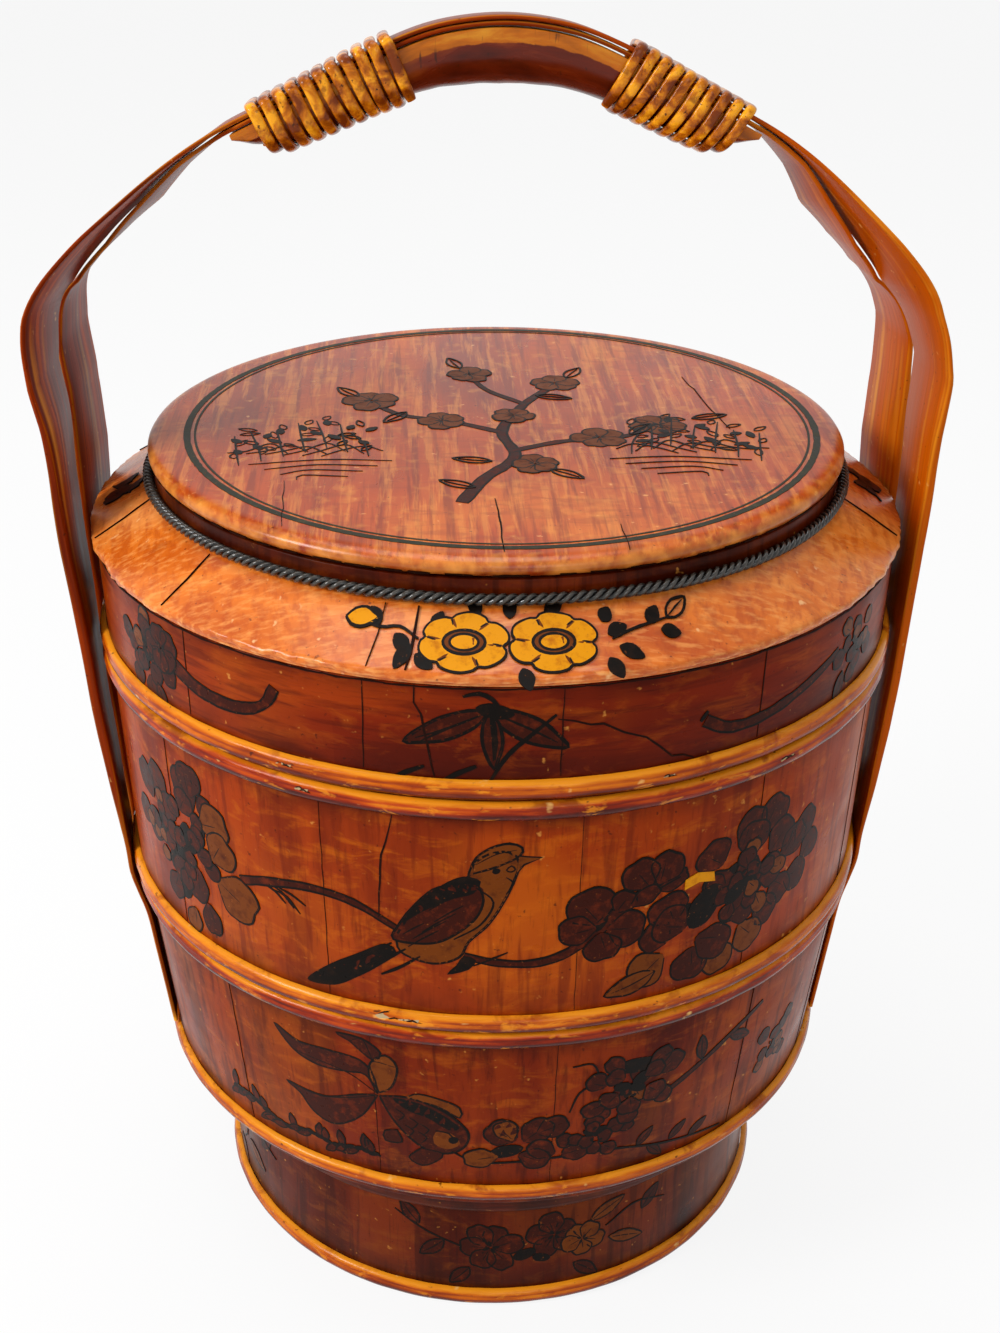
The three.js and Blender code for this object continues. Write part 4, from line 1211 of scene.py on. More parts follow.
    def twig(self, points, width=3.4, pot=None):
        """A branch in two outlines with a wash between."""
        line = curve_through(points, 3)
        left, right = [], []
        count = len(line)
        for i, point in enumerate(line):
            run = (line[min(i + 1, count - 1)] - line[max(i - 1, 0)]).normalized()
            side = Vector((-run.y, run.x)) * width / 2 * (1 - 0.45 * i / count)
            side *= 1 + 0.3 * noise.noise(Vector(((point.x + self.line.shift) / 7, point.y / 7, 3)))
            left.append(point + side)
            right.append(point - side)
        (pot or self.wash).fill(left + right[::-1], smooth=False)
        self.line.brush(left, 0.9, 0.3, smooth=False)
        self.line.brush(right, 1.1, 0.3, smooth=False)

    def laid(self, name, body, slot):
        kit = finishes()
        for pot, word in zip(self.pots, ("wash", "gold_wash", "yellow", "line")):
            pot.laid(f"{name}_{word}", body, slot, kit[word])


def songbird(m):
    """A small bird on a branch, facing right, in the painter's plain manner."""

    tail = [(-90, 205), (-79, 216), (-66, 225), (-53, 233), (-48, 229), (-56, 221), (-66, 213), (-77, 206)]
    m.line.fill(tail)
    m.wash.fill([(-72, 218), (-60, 227), (-55, 226), (-66, 217)], smooth=False)
    body = [(-48, 238), (-40, 252), (-29, 264), (-18, 270), (-16, 276), (-10, 281), (-2, 282), (2, 277),
            (0, 268), (-4, 258), (-10, 247), (-18, 238), (-22, 230), (-33, 226), (-46, 230)]
    m.shape(m.gold, body)
    cap = [(-18, 271), (-15, 279), (-9, 284), (-2, 286), (3, 284), (2, 280), (-7, 275)]
    m.shape(m.gold, cap, 1.1)
    m.line.brush([(-15, 276), (-7, 281), (1, 283)], 0.5, 0.7)
    beak = [(2, 280), (11, 279), (4, 276), (1, 272)]
    m.gold.fill(beak, smooth=False)
    m.line.brush(beak, 1.0, 0.3, smooth=False)
    m.blot((-7, 273), 0.3, 3.4, 2.6)
    m.line.brush([(-3, 273.5), (-1, 275.5), (0.5, 273.8), (-1.2, 272.6)], 0.7, 0.2, True)
    m.line.brush([(-3, 270), (0, 267), (-3, 262)], 0.9, 0.7)
    wing = [(-14, 266), (-12, 259), (-15, 250), (-24, 241), (-34, 236), (-49, 236), (-47, 243), (-40, 254),
                 (-30, 264)]
    m.shape(m.wash, wing)
    m.line.fill([(-13, 268), (-16, 262), (-24, 259), (-36, 252), (-45, 245), (-40, 254), (-29, 265),
                 (-20, 270)])
    for x, z, run in ((-20, 256, 12), (-23, 252, 14), (-27, 248, 14), (-30, 243, 13), (-24, 260, 10),
                      (-36, 246, 9)):
        m.line.brush([(x, z), (x - run * 0.5, z - run * 0.35), (x - run, z - run * 0.75)], 0.8, 0.7)
    m.line.brush([(-15, 265), (-8, 258), (-13, 247), (-24, 239)], 0.9, 0.4)
    for x, z in ((-44, 232), (-38, 229), (-50, 234)):
        m.line.brush([(x, z), (x - 9, z - 7), (x - 17, z - 12)], 1.5, 0.6)
    m.line.fill([(-27, 221), (-18, 224), (-15, 229), (-20, 231), (-23, 226)])
    m.line.brush([(-16, 226), (-8, 230), (-2, 233)], 1.0, 0.7)


def fish(m):
    """A long-finned goldfish seen from its side, its fins sweeping to the upper left."""

    fins = (
        ((-59, 148), (-64, 158), (-74, 157), (-88, 156), (-100, 160), (-109, 171), (-104, 169), (-96, 166),
         (-80, 167), (-66, 166), (-60, 158)),
        ((-59, 147), (-68, 145), (-84, 138), (-94, 137), (-107, 138), (-100, 134), (-93, 125), (-82, 122),
         (-68, 132)),
        ((-58, 149), (-62, 157), (-61, 166), (-54, 172), (-49, 166), (-52, 154)),
        ((-70, 176), (-76, 179), (-64, 179), (-56, 173), (-60, 168)),
    )
    for number, fin in enumerate(fins):
        points = list(fin)
        m.shape(m.gold if number == 2 else m.wash, points, 1.1, 0.3)
        m.line.brush([points[0], points[2], points[4]], 0.6, 0.7)
    body = [(-58, 147), (-46, 149), (-34, 146), (-24, 139), (-18, 130), (-21, 121), (-30, 117), (-40, 120),
                 (-49, 129), (-55, 139)]
    m.shape(m.wash, body)
    m.line.fill([(-52, 147), (-42, 147), (-31, 142), (-22, 134), (-27, 132), (-36, 138), (-45, 141)])
    dorsal = [(-46, 149), (-40, 152), (-30, 150), (-22, 146), (-22, 140), (-32, 146)]
    m.shape(m.gold, dorsal, 0.9, 0.3)
    for x, z in ((-48, 138), (-42, 134), (-37, 131), (-44, 129), (-38, 126)):
        m.line.brush([(x - 3, z + 3), (x + 1, z), (x - 2, z - 4)], 0.8, 0.6)
    m.gold.fill([(-33, 130), (-26, 130), (-22, 124), (-28, 120), (-34, 123)])
    m.line.brush([(-33, 131), (-27, 130), (-24, 125)], 1.0, 0.5)
    m.blot((-25, 126), 0.4, 5, 4)
    for low in (((-40, 119), (-46, 112), (-40, 108), (-33, 112), (-30, 117)),
                ((-51, 128), (-57, 126), (-57, 120), (-49, 121))):
        m.shape(m.wash, low, 0.9, 0.3)


def crack(painting, canvas_points, width=0.5, wander=0.5, seed=1):
    """A dark line that wanders a little between its points, for splits, open joints and lines of painted
    shade.
    """
    dice = random.Random(seed)
    points = []
    for a, b in zip(canvas_points, canvas_points[1:]):
        cuts = max(2, int(math.dist(a, b) / 6))
        for k in range(cuts):
            t = k / cuts
            points.append((a[0] + (b[0] - a[0]) * t + dice.uniform(-wander, wander),
                           a[1] + (b[1] - a[1]) * t + dice.uniform(-wander, wander)))
    points.append(canvas_points[-1])
    painting.brush(points, width, 0.6, smooth=False)


# Settings


class BasketSizes(bpy.types.PropertyGroup):
    """Sizes that a maker would change without moving the frame."""

    ring_steps: IntProperty(name="Ring Steps", description="Steps once round a turned piece", default=216,
                            min=48)
    rope_radius: FloatProperty(
        name="Rope Radius", description="Radius of the cord round the lid's neck", default=0.00235,
        unit="LENGTH", subtype="DISTANCE")
    rope_twists: IntProperty(name="Rope Twists", description="Turns of the strands once round the lid",
                             default=84)
    peg_radius: FloatProperty(
        name="Peg Radius", description="Radius of the pegs at the laths' feet", default=0.0025,
        unit="LENGTH", subtype="DISTANCE")
    floor_reach: FloatProperty(
        name="Floor Reach", description="Half width of the studio floor", default=30.0, unit="LENGTH",
        subtype="DISTANCE")


class BasketColours(bpy.types.PropertyGroup):
    """Colours that a maker would change."""

    wall: FloatVectorProperty(
        name="Wall", description="Lacquer of the middle tier", default=paint("#923206")[:3], subtype="COLOR",
        min=0, max=1)
    wall_dark: FloatVectorProperty(
        name="Wall Dark", description="Streaks of the middle tier", default=paint("#681c03")[:3],
        subtype="COLOR", min=0, max=1
        )
    floor: FloatVectorProperty(
        name="Floor", description="Studio floor", default=(0.86, 0.86, 0.86), subtype="COLOR", min=0, max=1)


def sizes():
    """The sizes that the scene holds."""
    return bpy.context.scene.basket_sizes


# Operators


def boards(name, body, node, wall, finish, grain, seed):
    """One turned wall of upright boards."""
    piece = weathered(spun(name, wall_profile(wall), sizes().ring_steps), 0.25, grain, seed=seed)
    settle(piece, body, [node], finishes()[finish])


def hoop(name, body, node, wall, low, finish, seed):
    """One split bamboo hoop round a wall."""
    piece = weathered(spun(name, hoop_profile(wall, low), sizes().ring_steps), 0.3, 12, seed=seed)
    settle(piece, body, [node], finishes()[finish], 60)


def tier(word, body, wall, floor_lift, hoop_lift, finish, seed):
    """A whole tier: wall, floor, standing lip, and a hoop round each rim."""
    boards(f"{word}_boards", body, f"{word}_wall", wall, finish, 35, seed)
    for name, node, profile in (("base_board", "floor", floor_profile(wall, floor_lift)),
                                ("inner_lip", "lip", lip_profile(wall))):
        piece = spun(f"{word}_{name}", profile, sizes().ring_steps)
        settle(piece, body, [f"{word}_{node}"], finishes()["inner"])
    hoop(f"{word}_lower_hoop", body, f"{word}_low_hoop", wall, wall.low + hoop_lift, "gold_hoop", seed + 1)
    hoop(f"{word}_upper_hoop", body, f"{word}_top_hoop", wall, wall.high - HOOP_HIGH, "red_hoop", seed + 2)


class BASKET_OT_foot(bpy.types.Operator):
    """Model the turned foot with its moulding and its hoop"""

    bl_idname = "basket.foot"
    bl_label = "Foot"

    def execute(self, context):
        boards("foot_drum", "base", "foot_wall", FOOT, "foot", 30, 0)
        collar = weathered(spun("foot_moulding", collar_profile(), sizes().ring_steps), 0.25, 22, seed=2)
        settle(collar, "base", ["foot_collar"], finishes()["collar"], 50)
        hoop("foot_rim_hoop", "base", "foot_hoop", FOOT, 0.2, "gold_hoop", 3)
        return {"FINISHED"}


class BASKET_OT_bottom_tier(bpy.types.Operator):
    """Model the bottom tier: wall, floor, two hoops and standing lip"""

    bl_idname = "basket.bottom_tier"
    bl_label = "Bottom Tier"

    def execute(self, context):
        tier("bottom_tier", "base", BOTTOM, 0, 3.3, "bottom", 4)
        return {"FINISHED"}


class BASKET_OT_middle_tier(bpy.types.Operator):
    """Model the middle tier: wall, floor, two hoops and standing lip"""

    bl_idname = "basket.middle_tier"
    bl_label = "Middle Tier"

    def execute(self, context):
        tier("middle_tier", "middle_tier", MIDDLE, 10.5, 0, "middle", 7)
        return {"FINISHED"}


class BASKET_OT_lid(bpy.types.Operator):
    """Model the lid: wall, hoop, sloping shoulder, neck and round board"""

    bl_idname = "basket.lid"
    bl_label = "Lid"

    def execute(self, context):
        kit, steps = finishes(), sizes().ring_steps
        boards("lid_boards", "lid", "lid_wall", LID, "lid", 35, 10)
        hoop("lid_rim_hoop", "lid", "lid_hoop", LID, LID.low, "gold_hoop", 11)
        shoulder = spun("lid_shoulder_boards", shoulder_profile(), 2 * steps)
        for amount, grain, seed in ((0.9, 3.5, 12), (0.6, 14, 13)):
            weathered(shoulder, amount, grain, lambda p: float(math.hypot(p.x, p.y) > SHOULDER_EDGE - 1.6),
                      seed)
        settle(shoulder, "lid", ["lid_shoulder"], kit["shoulder"], 50)
        neck = spun("lid_neck_ring",
                    wall_profile(Wall(SHOULDER_TOP + GAP, NECK_HIGH, NECK_RADIUS, NECK_RADIUS)), steps)
        settle(neck, "lid", ["lid_neck"], kit["neck"])
        top = spun("lid_round_board", top_profile(), 2 * steps)
        weathered(top, 0.5, 5, lambda p: float(p.z < TOP_LOW + 1 and math.hypot(p.x,
                                                                                p.y) > TOP_RADIUS - 8.5), 14)
        settle(top, "lid", ["lid_top_board"], kit["top"], 60)
        return {"FINISHED"}


class BASKET_OT_rope(bpy.types.Operator):
    """Lay the three-strand cord in the corner between the neck and the shoulder"""

    bl_idname = "basket.rope"
    bl_label = "Rope"

    def execute(self, context):
        radius = sizes().rope_radius / MM
        centre = NECK_RADIUS + GAP + radius
        surface = SHOULDER_TOP - SHOULDER_SLOPE * (centre - SHOULDER_CREST)
        height = surface + (radius + GAP) * math.hypot(1, SHOULDER_SLOPE) - 0.2
        strand, offset = 0.56 * radius, 0.5 * radius
        twists = sizes().rope_twists
        steps = twists * 10
        for number in range(3):
            rings = []
            for i in range(steps):
                angle = 2 * math.pi * i / steps
                lay = twists * angle + number * 2 * math.pi / 3
                flat = Vector((math.cos(angle), math.sin(angle), 0))
                loose = 0.2 * noise.noise(Vector((flat.x * 9, flat.y * 9, number)))
                middle = flat * (centre + offset * math.cos(lay) + loose)
                middle += Vector((0, 0, height + offset * math.sin(lay)))
                ring = []
                for k in range(8):
                    turn = 2 * math.pi * k / 8
                    rise = Vector((0, 0, strand * math.sin(turn)))
                    ring.append(middle + flat * strand * math.cos(turn) + rise)
                rings.append(ring)
            piece = skin(f"lid_cord_strand_{number + 1}", rings, True)
            settle(piece, "lid", ["lid_rope_trim"], finishes()["rope"], 70)
        return {"FINISHED"}


class BASKET_OT_laths(bpy.types.Operator):
    """Bend the front and the back lath of the handle, each in one length"""

    bl_idname = "basket.laths"
    bl_label = "Laths"

    def execute(self, context):
        for word, front in (("front", -1), ("back", 1)):
            piece = lath_piece(f"handle_{word}_bent_lath", front)
            parts = ("foot_left", "left", "crown", "right", "foot_right")
            nodes = [f"handle_{word}_lath_{part}" for part in parts]
            settle(piece, "base", nodes, finishes()["lath"], 50)
        return {"FINISHED"}


class BASKET_OT_grip(bpy.types.Operator):
    """Shape the grip block under the laths"""

    bl_idname = "basket.grip"
    bl_label = "Grip"

    def execute(self, context):
        settle(grip_piece("handle_grip_block"), "base", ["handle_grip"], finishes()["grip"],
               50)
        return {"FINISHED"}


class BASKET_OT_windings(bpy.types.Operator):
    """Wind the two canes round the grip's ends"""

    bl_idname = "basket.windings"
    bl_label = "Windings"

    def execute(self, context):
        for word, side, start, turns in WINDINGS:
            piece = winding_piece(f"handle_{word}_cane", side, start, turns)
            settle(piece, "base", [f"handle_{word}_winding"], finishes()["cane"], 60)
        return {"FINISHED"}


class BASKET_OT_pegs(bpy.types.Operator):
    """Turn the four round-headed pegs that hold the laths' feet"""

    bl_idname = "basket.pegs"
    bl_label = "Pegs"

    def execute(self, context):
        radius = sizes().peg_radius
        for side in ("front", "back"):
            for hand in ("left", "right"):
                node = f"handle_peg_{side}_{hand}"
                low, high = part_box(node)
                middle = (low + high) / 2
                outward = Vector((middle.x, middle.y, 0)).normalized()
                reach = 0.97 * Vector((abs(outward.x), abs(outward.y), 0)).dot(high - low)
                bpy.ops.object.select_all(action="DESELECT")
                bpy.ops.mesh.primitive_cylinder_add(vertices=24, radius=radius, depth=reach,
                                                    location=(0, 0, 0))
                peg = context.active_object
                peg.name = f"{node}_dowel"
                bevel = peg.modifiers.new("Round", "BEVEL")
                bevel.width, bevel.segments, bevel.angle_limit = radius * 0.35, 3, math.radians(40)
                bpy.ops.object.modifier_apply(modifier=bevel.name)
                peg.data.transform(outward.to_track_quat("Z", "Y").to_matrix().to_4x4())
                peg.data.transform(Matrix.Translation(middle))
                settle(peg, "base", [node], finishes()["gold_hoop"], 50)
        return {"FINISHED"}


# Flower heads: petals as (x, z, angle, length, width), golden where a sixth number stands, then dark dabs as
# (x, z, length, width, angle)

FISH_FLOWERS = (
    (
        (4, 126, 2.5, 17, 11), (2, 126, 2.0, 14, 8, 1), (6, 125, 0.8, 18, 10), (12, 130, 0.4, 16, 9),
        (-4, 117, 3.3, 17, 8, 1), (4, 118, -0.4, 16, 9), (22, 116, 2.6, 15, 8), (24, 115, 0.3, 14, 9),
    ),
    ((-1, 120, 16, 7, 0.2), (14, 117, 13, 6, -0.2), (30, 116, 12, 7, 0.3)),
)
LEFT_FLOWERS = (
    (
        (-150, 264, 1.9, 24, 12), (-170, 262, 2.4, 20, 11), (-184, 256, 2.2, 20, 11),
        (-151, 272, 1.5, 18, 12), (-146, 268, 0.5, 12, 9), (-176, 240, 2.9, 18, 12),
        (-190, 240, 2.6, 16, 10), (-163, 256, 2.8, 15, 11), (-160, 262, 1.0, 14, 10),
        (-146, 262, 0.3, 20, 18, 1), (-158, 236, -2.4, 16, 10), (-168, 226, -2.0, 16, 9),
        (-140, 246, 0.8, 19, 17, 1), (-150, 238, -1.8, 20, 11), (-138, 238, -0.4, 26, 21, 1),
        (-146, 222, -1.4, 17, 9), (-156, 214, -1.9, 14, 8, 1),
    ),
    (
        (-158, 246, 24, 11, 1.4), (-166, 236, 22, 11, 0.9), (-152, 232, 18, 9, -0.9), (-176, 250, 16, 8, 2),
        (-148, 256, 13, 7, 0.5), (-162, 222, 15, 8, 1.2),
    ),
)
NEAR_FLOWERS = (
    (
        (36, 243, 2.0, 20, 19), (35, 242, 3.15, 17, 10), (38, 241, -0.15, 18, 13), (36, 240, -1.4, 15, 12),
        (42, 248, 1.0, 12, 8), (57, 257, 2.1, 17, 15), (60, 258, 1.1, 17, 11), (48, 250, 0.5, 15, 6),
        (58, 256, 0.3, 17, 7),
    ),
    ((36, 244, 9, 4, 0.9), (60, 259, 8, 4, 0.4)),
)
RIGHT_FLOWERS = (
    (
        (100, 262, 1.1, 22, 11), (112, 266, 0.9, 20, 12), (92, 258, 2.3, 16, 13), (106, 256, 1.4, 19, 13),
        (118, 254, 0.8, 19, 12), (126, 248, 0.6, 20, 11), (136, 250, 0.9, 20, 10), (142, 240, 0.7, 16, 10),
        (130, 236, -0.2, 18, 11), (122, 240, -0.9, 18, 11), (112, 230, -0.6, 17, 11),
        (104, 224, -0.9, 19, 12, 1), (92, 220, -1.4, 18, 12, 1), (80, 222, -1.7, 18, 13),
        (66, 222, -2.5, 19, 13, 1), (68, 228, 2.6, 15, 12), (70, 236, 2.0, 17, 14), (80, 226, -0.5, 22, 16),
        (76, 232, 2.6, 18, 17), (96, 230, 0.3, 17, 13), (88, 240, 1.3, 17, 12), (98, 244, 0.5, 18, 13),
        (112, 244, 0.1, 16, 12),
    ),
    (
        (84, 240, 22, 13, 0.9), (98, 250, 24, 12, 0.5), (108, 240, 18, 12, 0.2), (118, 248, 16, 10, 0.8),
        (74, 238, 14, 8, 1.2), (100, 232, 16, 9, 0.1),
    ),
)


class BASKET_OT_foot_painting(bpy.types.Operator):
    """Paint the scrolling flowers on the foot"""

    bl_idname = "basket.foot_painting"
    bl_label = "Foot Painting"

    def execute(self, context):
        m = Motifs(Canvas(FOOT), 3)
        for turn in range(4):
            m.move(turn * 2 * math.pi * FOOT_RADIUS / 4, fresh=False)
            m.line.brush([(-52, 52), (-38, 43), (-22, 36), (-4, 28)], 1.1)
            for x, z, angle, long in ((-40, 46, 2.2, 15), (-28, 38, -2.4, 16), (42, 44, 0.5, 20),
                                      (52, 30, -0.3, 20), (34, 20, -0.7, 16), (-16, 22, -2.3, 14),
                                      (70, 40, 0.9, 15)):
                m.leaf((x, z), angle, long, 7.5, m.wash if long < 17 else m.gold)
            m.blossom((24, 40), 13, 5, m.wash, 0.4)
            m.blossom((38, 34), 11, 5, m.gold, 0.9)
            m.blossom((-6, 35), 15, 6, m.wash, 0.1)
            m.blot((10, 30), 0.4, 12, 6)
            m.blot((18, 27), -0.3, 9, 5)
            m.line.brush([(50, 38), (66, 46), (84, 41)], 1.0)
        m.laid("foot_painting", "base", "wall_lacquer")
        return {"FINISHED"}


class BASKET_OT_bottom_painting(bpy.types.Operator):
    """Paint the goldfish and flowers on the bottom tier, front and back"""

    bl_idname = "basket.bottom_painting"
    bl_label = "Bottom Tier Painting"

    def weed(self, m):
        """A low tangle of short curling leaves along the rim."""
        line = [(-147, 113), (-136, 114), (-126, 111), (-112, 107), (-98, 111), (-84, 108), (-72, 111),
                (-60, 109)]
        m.line.brush(line, 1.4, 0.4)
        for (x, z), (nx, nz) in zip(line, line[1:]):
            for t in (0.1, 0.4, 0.7):
                spot = (x + (nx - x) * t, z + (nz - z) * t)
                angle = m.dice.choice((1, -1)) * m.dice.uniform(0.6, 1.3) + 2.6
                m.leaf(spot, angle, m.dice.uniform(7, 11), 4.2, m.wash, False, 0.9)
                m.blot(spot, m.dice.uniform(-0.4, 0.4), 6, 2.6)

    def execute(self, context):
        m = Motifs(Canvas(BOTTOM), 5)
        for shift in (0, math.pi * BOTTOM.high_radius):
            m.move(shift)
            fish(m)
            self.weed(m)
            m.line.brush([(27, 141), (31, 152), (39, 158), (36, 168), (27, 168)], 1.0, 0.4)
            m.line.brush([(-26, 119), (-15, 113), (4, 113), (26, 114), (50, 113),
                          (77, 107), (113, 101)], 1.3, 0.4)
            m.head(*FISH_FLOWERS)
            m.pile((40, 125), 15, 10, 0.8)
            m.pile((56, 150), 21, 15, 0.85)
            m.blot((58, 162), -0.1, 24, 8)
            m.blot((64, 157), -0.5, 12, 7)
            for x, z, angle in ((62, 111, 0.9), (68, 109, -0.8), (80, 108, 0.8), (92, 105, 0.6)):
                m.leaf((x, z), angle, 12, 5, m.wash, True, 0.8)
            m.twig([(74, 140), (92, 150), (110, 160), (128, 168)], 2.6)
            m.leaf((92, 152), 1.7, 15, 6, m.wash)
            m.leaf((108, 158), -0.4, 15, 6, m.wash)
            m.pile((148, 132), 15, 9)
        m.laid("bottom_tier_painting", "base", "wall_lacquer")
        return {"FINISHED"}


class BASKET_OT_middle_painting(bpy.types.Operator):
    """Paint the bird and the flowering branches on the middle tier, front and back"""

    bl_idname = "basket.middle_painting"
    bl_label = "Middle Tier Painting"

    def execute(self, context):
        m = Motifs(Canvas(MIDDLE), 8)
        for shift in (0, math.pi * MIDDLE.high_radius):
            m.move(shift)
            m.twig([(-122, 244), (-107, 249), (-86, 253), (-66, 251), (-46, 241)], 4.2)
            for x, z, end in ((-106, 248, (-94, 240)), (-103, 246, (-91, 238)), (-101, 248, (-88, 243)),
                               (-108, 247, (-98, 241))):
                m.line.brush([(x, z), ((x + end[0]) / 2, z - 1.5), end], 1.1, 0.7)
            m.twig([(40, 244), (30, 236), (20, 230), (8, 227), (-8, 228), (-20, 231)], 4.6)
            songbird(m)
            m.head(*LEFT_FLOWERS)
            m.pile((-178, 246), 15, 9, 1.1)
            m.pile((-156, 246), 18, 12, 1.2)
            m.twig([(38, 243), (46, 251), (57, 257), (70, 261)], 5.4)
            m.head(*NEAR_FLOWERS)
            m.head(*RIGHT_FLOWERS)
            m.pile((106, 246), 19, 12, 0.9)
            m.blot((83, 243), 0.8, 19, 10)
            m.blot((100, 242), 0.6, 14, 8)
            m.leaf((62, 214), -2.8, 24, 10, m.gold)
            if shift == 0:
                m.yellow.fill([(73, 252), (80, 254), (88, 252), (87, 257), (79, 259), (73, 257)],
                              smooth=False)
        m.laid("middle_tier_painting", "middle_tier", "wall_lacquer")
        return {"FINISHED"}


class BASKET_OT_lid_painting(bpy.types.Operator):
    """Paint the pods, stalks and clusters on the lid's wall and the blossoms on its shoulder"""

    bl_idname = "basket.lid_painting"
    bl_label = "Lid Painting"

    def execute(self, context):
        m = Motifs(Canvas(LID), 11)
        for shift in (0, math.pi * LID.high_radius):
            m.move(shift)
            for angle, long, wide in ((3.57, 36, 10), (-0.5, 34, 11), (-1.5, 25, 8)):
                m.leaf((-10, 345), angle, long, wide, m.wash, True, 1.5)
            m.line.brush([(-16, 342), (-26, 337), (-36, 331)], 1.1, 0.7)
            m.line.brush([(-9, 344), (-8, 334), (-8, 324)], 2.2, 0.7)
            m.blot((-8, 345), -0.2, 15, 6)
            m.line.brush([(-20, 351), (-14, 352.5), (-9, 350), (-6, 346)], 1.8, 0.5)
            m.line.brush([(15, 343), (6, 335), (-3, 326), (-10, 314)], 1.9, 0.6)
            for x, low in ((-50, 311), (-30, 312)):
                m.line.brush([(x, low), (x + 7, low + 5), (x + 15, low + 9)], 2.2, 0.5)
            m.twig([(-152, 336), (-136, 330), (-116, 329), (-102, 334), (-96, 343)], 7.0)
            m.pile((-174, 334), 18, 14, 0.95)
            m.blossom((-160, 340), 13, 5, m.wash, 0.6, 0.9)
            m.leaf((-166, 322), -1.2, 14, 7, m.wash)
            m.twig([(76, 331), (88, 325), (106, 325), (128, 330), (152, 338)], 5.0)
            m.line.brush([(74, 331), (77, 335)], 1.8, 0.4)
            m.pile((168, 336), 15, 11, 0.95)
            m.leaf((158, 326), -1.9, 14, 7, m.wash)
        m.laid("lid_wall_painting", "lid", "wall_lacquer")
        s = Motifs(Canvas(kind="shoulder"), 12)
        for side in (0, 1):
            shift = side * math.pi * SHOULDER_DRAWN
            s.move(shift)
            s.line.brush([(-62, 19), (-52, 16), (-44, 17), (-36, 13)], 1.1)
            for x, y, angle, long in ((-52, 17, 2.3, 8), (-45, 14, -0.8, 9), (-39, 11, -1.9, 10),
                                      (-31, 17, 1.2, 7), (-36, 7, -0.6, 8), (-2, 22, 1.5, 8),
                                      (2, 3, -1.3, 8), (35, 14, 0.3, 8), (38, 9, -0.6, 9), (33, 5, -1.2, 8),
                                      (34, 19, 0.9, 6), (52, 16, 0.8, 8), (56, 13, -0.4, 7),
                                      (-14, 23, 2.0, 9), (12, 23, 0.6, 9)):
                s.leaf((x, y), angle, long, 5.2, s.line, False, 0.8)
            for x in (-19, 14):
                blossom_ring(s, (x, 12.6))
            s.leaf((-66, 18), 0.1, 13, 8, s.yellow, False, 1.3)
            s.leaf((60, 17), 0.5, 13, 6, None, True)
            s.line.brush([(36, 12), (46, 15), (60, 17)], 1.0)
        s.move(0, fresh=False)
        for x in (-250, 250):
            s.line.brush([(x - 13, 8), (x - 2, 14), (x + 10, 18)], 1.2)
            for k in range(4):
                s.leaf((x - 10 + 6 * k, 10 + 2 * k), 0.9 + 1.3 * (k % 2), 10, 5, s.wash)
            s.blossom((x + 2, 12), 6.5, 5, s.wash)
        s.laid("lid_shoulder_painting", "lid", "shoulder_lacquer")
        return {"FINISHED"}


def blossom_ring(s, centre):
    """A yellow blossom of six uneven lobes about a ringed oval heart."""
    lobes = []
    for k in range(48):
        angle = 2 * math.pi * k / 48
        swell = 0.92 + 0.17 * abs(math.sin(3 * angle + 0.4)) ** 0.6
        across = centre[0] + s.line.shift + math.cos(angle) * 2
        swell += 0.05 * noise.noise(Vector((across, math.sin(angle) * 2, 1)))
        lobes.append((centre[0] + 15.6 * swell * math.cos(angle),
                      centre[1] + 10.4 * swell * math.sin(angle)))
    s.yellow.fill(lobes)
    s.line.brush(lobes, 0.9, 0, True)
    for k in range(6):
        angle = (math.pi * k - 0.4) / 3
        reach = 14.2
        s.gold.fill([(centre[0] + reach * math.cos(angle + a) * r,
                      centre[1] + 0.66 * reach * math.sin(angle + a) * r)
                     for a, r in ((-0.06, 0.98), (0.06, 0.98), (0.05, 0.7), (0, 0.6), (-0.05, 0.7))],
                     smooth=False)
        s.line.brush([(centre[0] + reach * math.cos(angle), centre[1] + 0.66 * reach * math.sin(angle)),
                      (centre[0] + 0.74 * reach * math.cos(angle + 0.08),
                       centre[1] + 0.49 * reach * math.sin(angle + 0.08))], 0.8, 0.8)
    for wide, pot, width in ((7.8, s.gold, 1.2), (5.3, s.yellow, 1.0)):
        ring = [(centre[0] + wide * math.cos(a), centre[1] + 0.58 * wide * math.sin(a))
                for a in [2 * math.pi * k / 12 for k in range(12)]]
        pot.fill(ring)
        s.line.brush(ring, width, 0, True)


